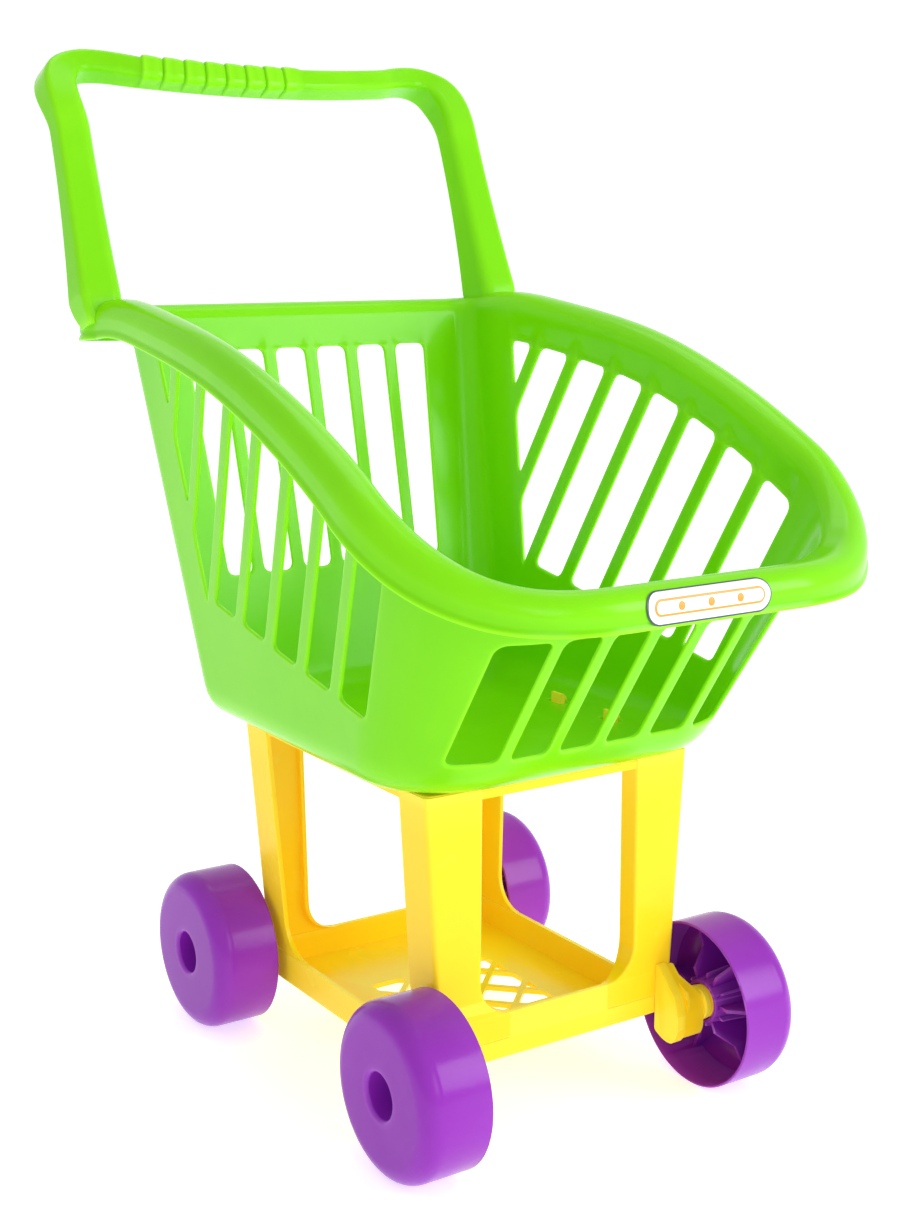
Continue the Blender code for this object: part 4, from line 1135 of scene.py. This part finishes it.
def make_wheel(name, side):
    node = "wheel_" + name
    low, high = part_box(node)
    inner, outer = min(abs(low[0]), abs(high[0])), max(abs(low[0]), abs(high[0]))
    radius = (high[2] - low[2]) / 2
    axle = axle_of(name)
    centre = Vector((0, axle.y, axle.z))
    builder = lathe(bmesh.new(), wheel_profile(inner, outer, radius), 112, centre, side)
    piece = place_piece("road_" + node, builder, [PURPLE], node, [node], 38)
    start, end = HUB_RADIUS - 0.0012, radius - WHEEL_WALL * 0.5
    disc = outer - WHEEL_WALL * 0.5
    rib = [(start, disc), (start, HUB_FACE + 0.0022), (0.0172, HUB_FACE + 0.0022),
           (0.0262, HUB_FACE + 0.0118), (end, HUB_FACE + 0.0135), (end, outer - WHEEL_SHOULDER),
           (0.0300, disc)]
    fin = [(start, HUB_WEB + 0.006), (start, HUB_FACE + 0.0030), (HUB_RADIUS + 0.0018, HUB_FACE + 0.0036),
           (HUB_RADIUS + 0.0030, HUB_WEB + 0.006)]
    for points, half, first in ((rib, RIB_HALF, 0.5), (fin, FIN_HALF, 0.0)):
        spokes = bmesh.new()
        for k in range(WHEEL_RIBS):
            turn = Matrix.Rotation(2 * math.pi * (k + first) / WHEEL_RIBS, 3, "X")
            skin(spokes, [[turn @ Vector((side * x, offset, r)) + centre for r, x in points]
                          for offset in (-half, half)])
        combine(piece, spokes)
    soften(piece, 0.00025, 2, 40)


for end, toward in ENDS:
    for side, side_name in SIDES:
        make_wheel(end + "_" + side_name, side)


# ------------------------------------------------------------------ badge

BADGE_X = (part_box("nose_badge")[0][0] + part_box("nose_badge")[1][0]) / 2
BADGE_WIDE, BADGE_TALL = 0.068, 0.0150
BADGE_CLIMB = 0.0012               # how far above the rim's front line the film is centred
BADGE_DOT, BADGE_DOT_PITCH = 0.0034, 0.016
BADGE_ROWS = 17
BADGE_LAYERS = ((0.0, 0.00025, 0.00060, 1), (0.0016, 0.00050, 0.00080, 0),     # inset, foot, top, material
                (0.0080, 0.00070, 0.00095, 2), (0.0100, 0.00090, 0.00110, 0))


def badge_layer(builder, wide, tall, low, high, slot_index, aside=0.0):
    """A pill-shaped film wrapped over the front of the rim, between two heights above it."""
    crown_z = hermite(RIM_HEIGHTS, RIM_SHAPE["front"])

    def over_rim(x, travel, lift):
        turn = max(0.0, travel) / ROLL
        radius = ROLL + lift
        z = crown_z + min(0.0, travel) + radius * math.sin(turn)
        return (x, RIM_SHAPE["front"] - radius * math.cos(turn), z)
    rows = []
    for step in range(BADGE_ROWS):
        across = -math.cos(math.pi * (step + 0.5) / BADGE_ROWS) * tall / 2
        half = wide / 2 - tall / 2 + math.sqrt((tall / 2) ** 2 - across ** 2)
        rows.append((half, across + BADGE_CLIMB))
    before = len(builder.faces)
    rings = []
    for half, travel in rows:
        left, right = BADGE_X + aside - half, BADGE_X + aside + half
        rings.append([over_rim(left, travel, low), over_rim(right, travel, low),
                      over_rim(right, travel, high), over_rim(left, travel, high)])
    skin(builder, rings)
    builder.faces.ensure_lookup_table()
    for face in list(builder.faces)[before:]:
        face.material_index = slot_index


def make_badge():
    builder = bmesh.new()
    for inset, low, high, material in BADGE_LAYERS:
        badge_layer(builder, BADGE_WIDE - inset, BADGE_TALL - inset, low, high, material)
    for x in (-BADGE_DOT_PITCH, 0.0, BADGE_DOT_PITCH):
        badge_layer(builder, BADGE_DOT, BADGE_DOT, 0.00100, 0.00125, 2, x)
    films = [WHITE_FILM, INK_FILM, TINT_FILM]
    place_piece("blank_badge", builder, films, "cart", ["nose_badge"], 30)


make_badge()


# ------------------------------------------------------------------ stage, light and camera

FLOOR_SIDES, FLOOR_RADIUS = 96, 40.0
FLOOR_GLOW = 0.57
ROOM_LIGHT, BACKDROP_LIGHT = 0.66, 1.05
BACKDROP_SIDE = (0.545, 0.838, -0.05)  # the white backdrop stands behind the cart
AIM = (0.0, 0.0, 0.25)             # the lamps point at the middle of the cart


def make_floor():
    builder = bmesh.new()
    turns = [2 * math.pi * k / FLOOR_SIDES for k in range(FLOOR_SIDES)]
    builder.faces.new([builder.verts.new((FLOOR_RADIUS * math.cos(turn), FLOOR_RADIUS * math.sin(turn), 0))
                       for turn in turns])
    mesh = bpy.data.meshes.new("floor")
    builder.to_mesh(mesh)
    builder.free()
    material, graph, shader, where = new_material("pale_floor")
    tone = graph.mix(graph.noise(where, 60.0, 4.0, 0.6), (0.90, 0.90, 0.90, 1), (0.92, 0.92, 0.92, 1))
    graph.links.new(tone, shader.inputs["Base Color"])
    levels = {"Roughness": 0.9, "Specular IOR Level": 0.0, "Emission Color": (1.0, 1.0, 1.0, 1.0),
              "Emission Strength": FLOOR_GLOW}
    for key, value in levels.items():
        shader.inputs[key].default_value = value
    mesh.materials.append(material)
    floor = bpy.data.objects.new("floor", mesh)
    bpy.context.scene.collection.objects.link(floor)


def add_softbox(name, place, size, power):
    light = bpy.data.lights.new(name, "AREA")
    light.shape = "RECTANGLE"
    light.size, light.size_y = size
    light.energy = power
    lamp = bpy.data.objects.new(name, light)
    lamp.location = place
    lamp.rotation_euler = (Vector(AIM) - Vector(place)).to_track_quat("-Z", "Y").to_euler()
    bpy.context.scene.collection.objects.link(lamp)


def make_studio():
    """A white backdrop behind the cart, a dimmer room, a large soft key and two fills."""
    world = bpy.data.worlds.new("studio")
    world.use_nodes = True
    graph = Graph(world.node_tree)
    background = graph.nodes["Background"]
    toward = graph.nodes.new("ShaderNodeVectorMath")
    toward.operation = "DOT_PRODUCT"
    graph.links.new(graph.nodes.new("ShaderNodeTexCoord").outputs["Generated"], toward.inputs[0])
    toward.inputs[1].default_value = BACKDROP_SIDE
    strength = graph.remap(toward.outputs["Value"], 0.60, 0.80, ROOM_LIGHT, BACKDROP_LIGHT)
    graph.links.new(strength, background.inputs["Strength"])
    background.inputs["Color"].default_value = (1.0, 1.0, 1.0, 1.0)
    bpy.context.scene.world = world
    bpy.context.scene.view_settings.view_transform = "Standard"
    add_softbox("key", (1.05, -1.45, 0.85), (0.8, 1.0), 15.0)
    add_softbox("front", (-0.25, -1.9, 0.9), (0.6, 0.8), 4.0)
    add_softbox("top", (0.3, 0.4, 1.8), (1.0, 1.0), 5.0)


FOCAL_PIXELS, FRAME_TALL = 1818.46247, 1208
CAMERA_PLACE = Vector((-0.50153, -0.76819, 0.42488))
CAMERA_AZIMUTH, CAMERA_DROP = -0.57982, 0.19921
SENSOR = 36


def make_camera():
    data = bpy.data.cameras.new("camera")
    data.sensor_fit = "AUTO"
    data.sensor_width = SENSOR
    data.lens = FOCAL_PIXELS * SENSOR / FRAME_TALL
    data.clip_start, data.clip_end = 0.02, 60
    camera = bpy.data.objects.new("camera", data)
    right = Vector((math.cos(CAMERA_AZIMUTH), math.sin(CAMERA_AZIMUTH), 0))
    level = math.cos(CAMERA_DROP)
    look = Vector((-right.y * level, right.x * level, -math.sin(CAMERA_DROP)))
    matrix = Matrix((right, right.cross(look), -look)).transposed().to_4x4()
    matrix.translation = CAMERA_PLACE
    camera.matrix_world = matrix
    bpy.context.scene.collection.objects.link(camera)
    bpy.context.scene.camera = camera


make_floor()
make_studio()
make_camera()
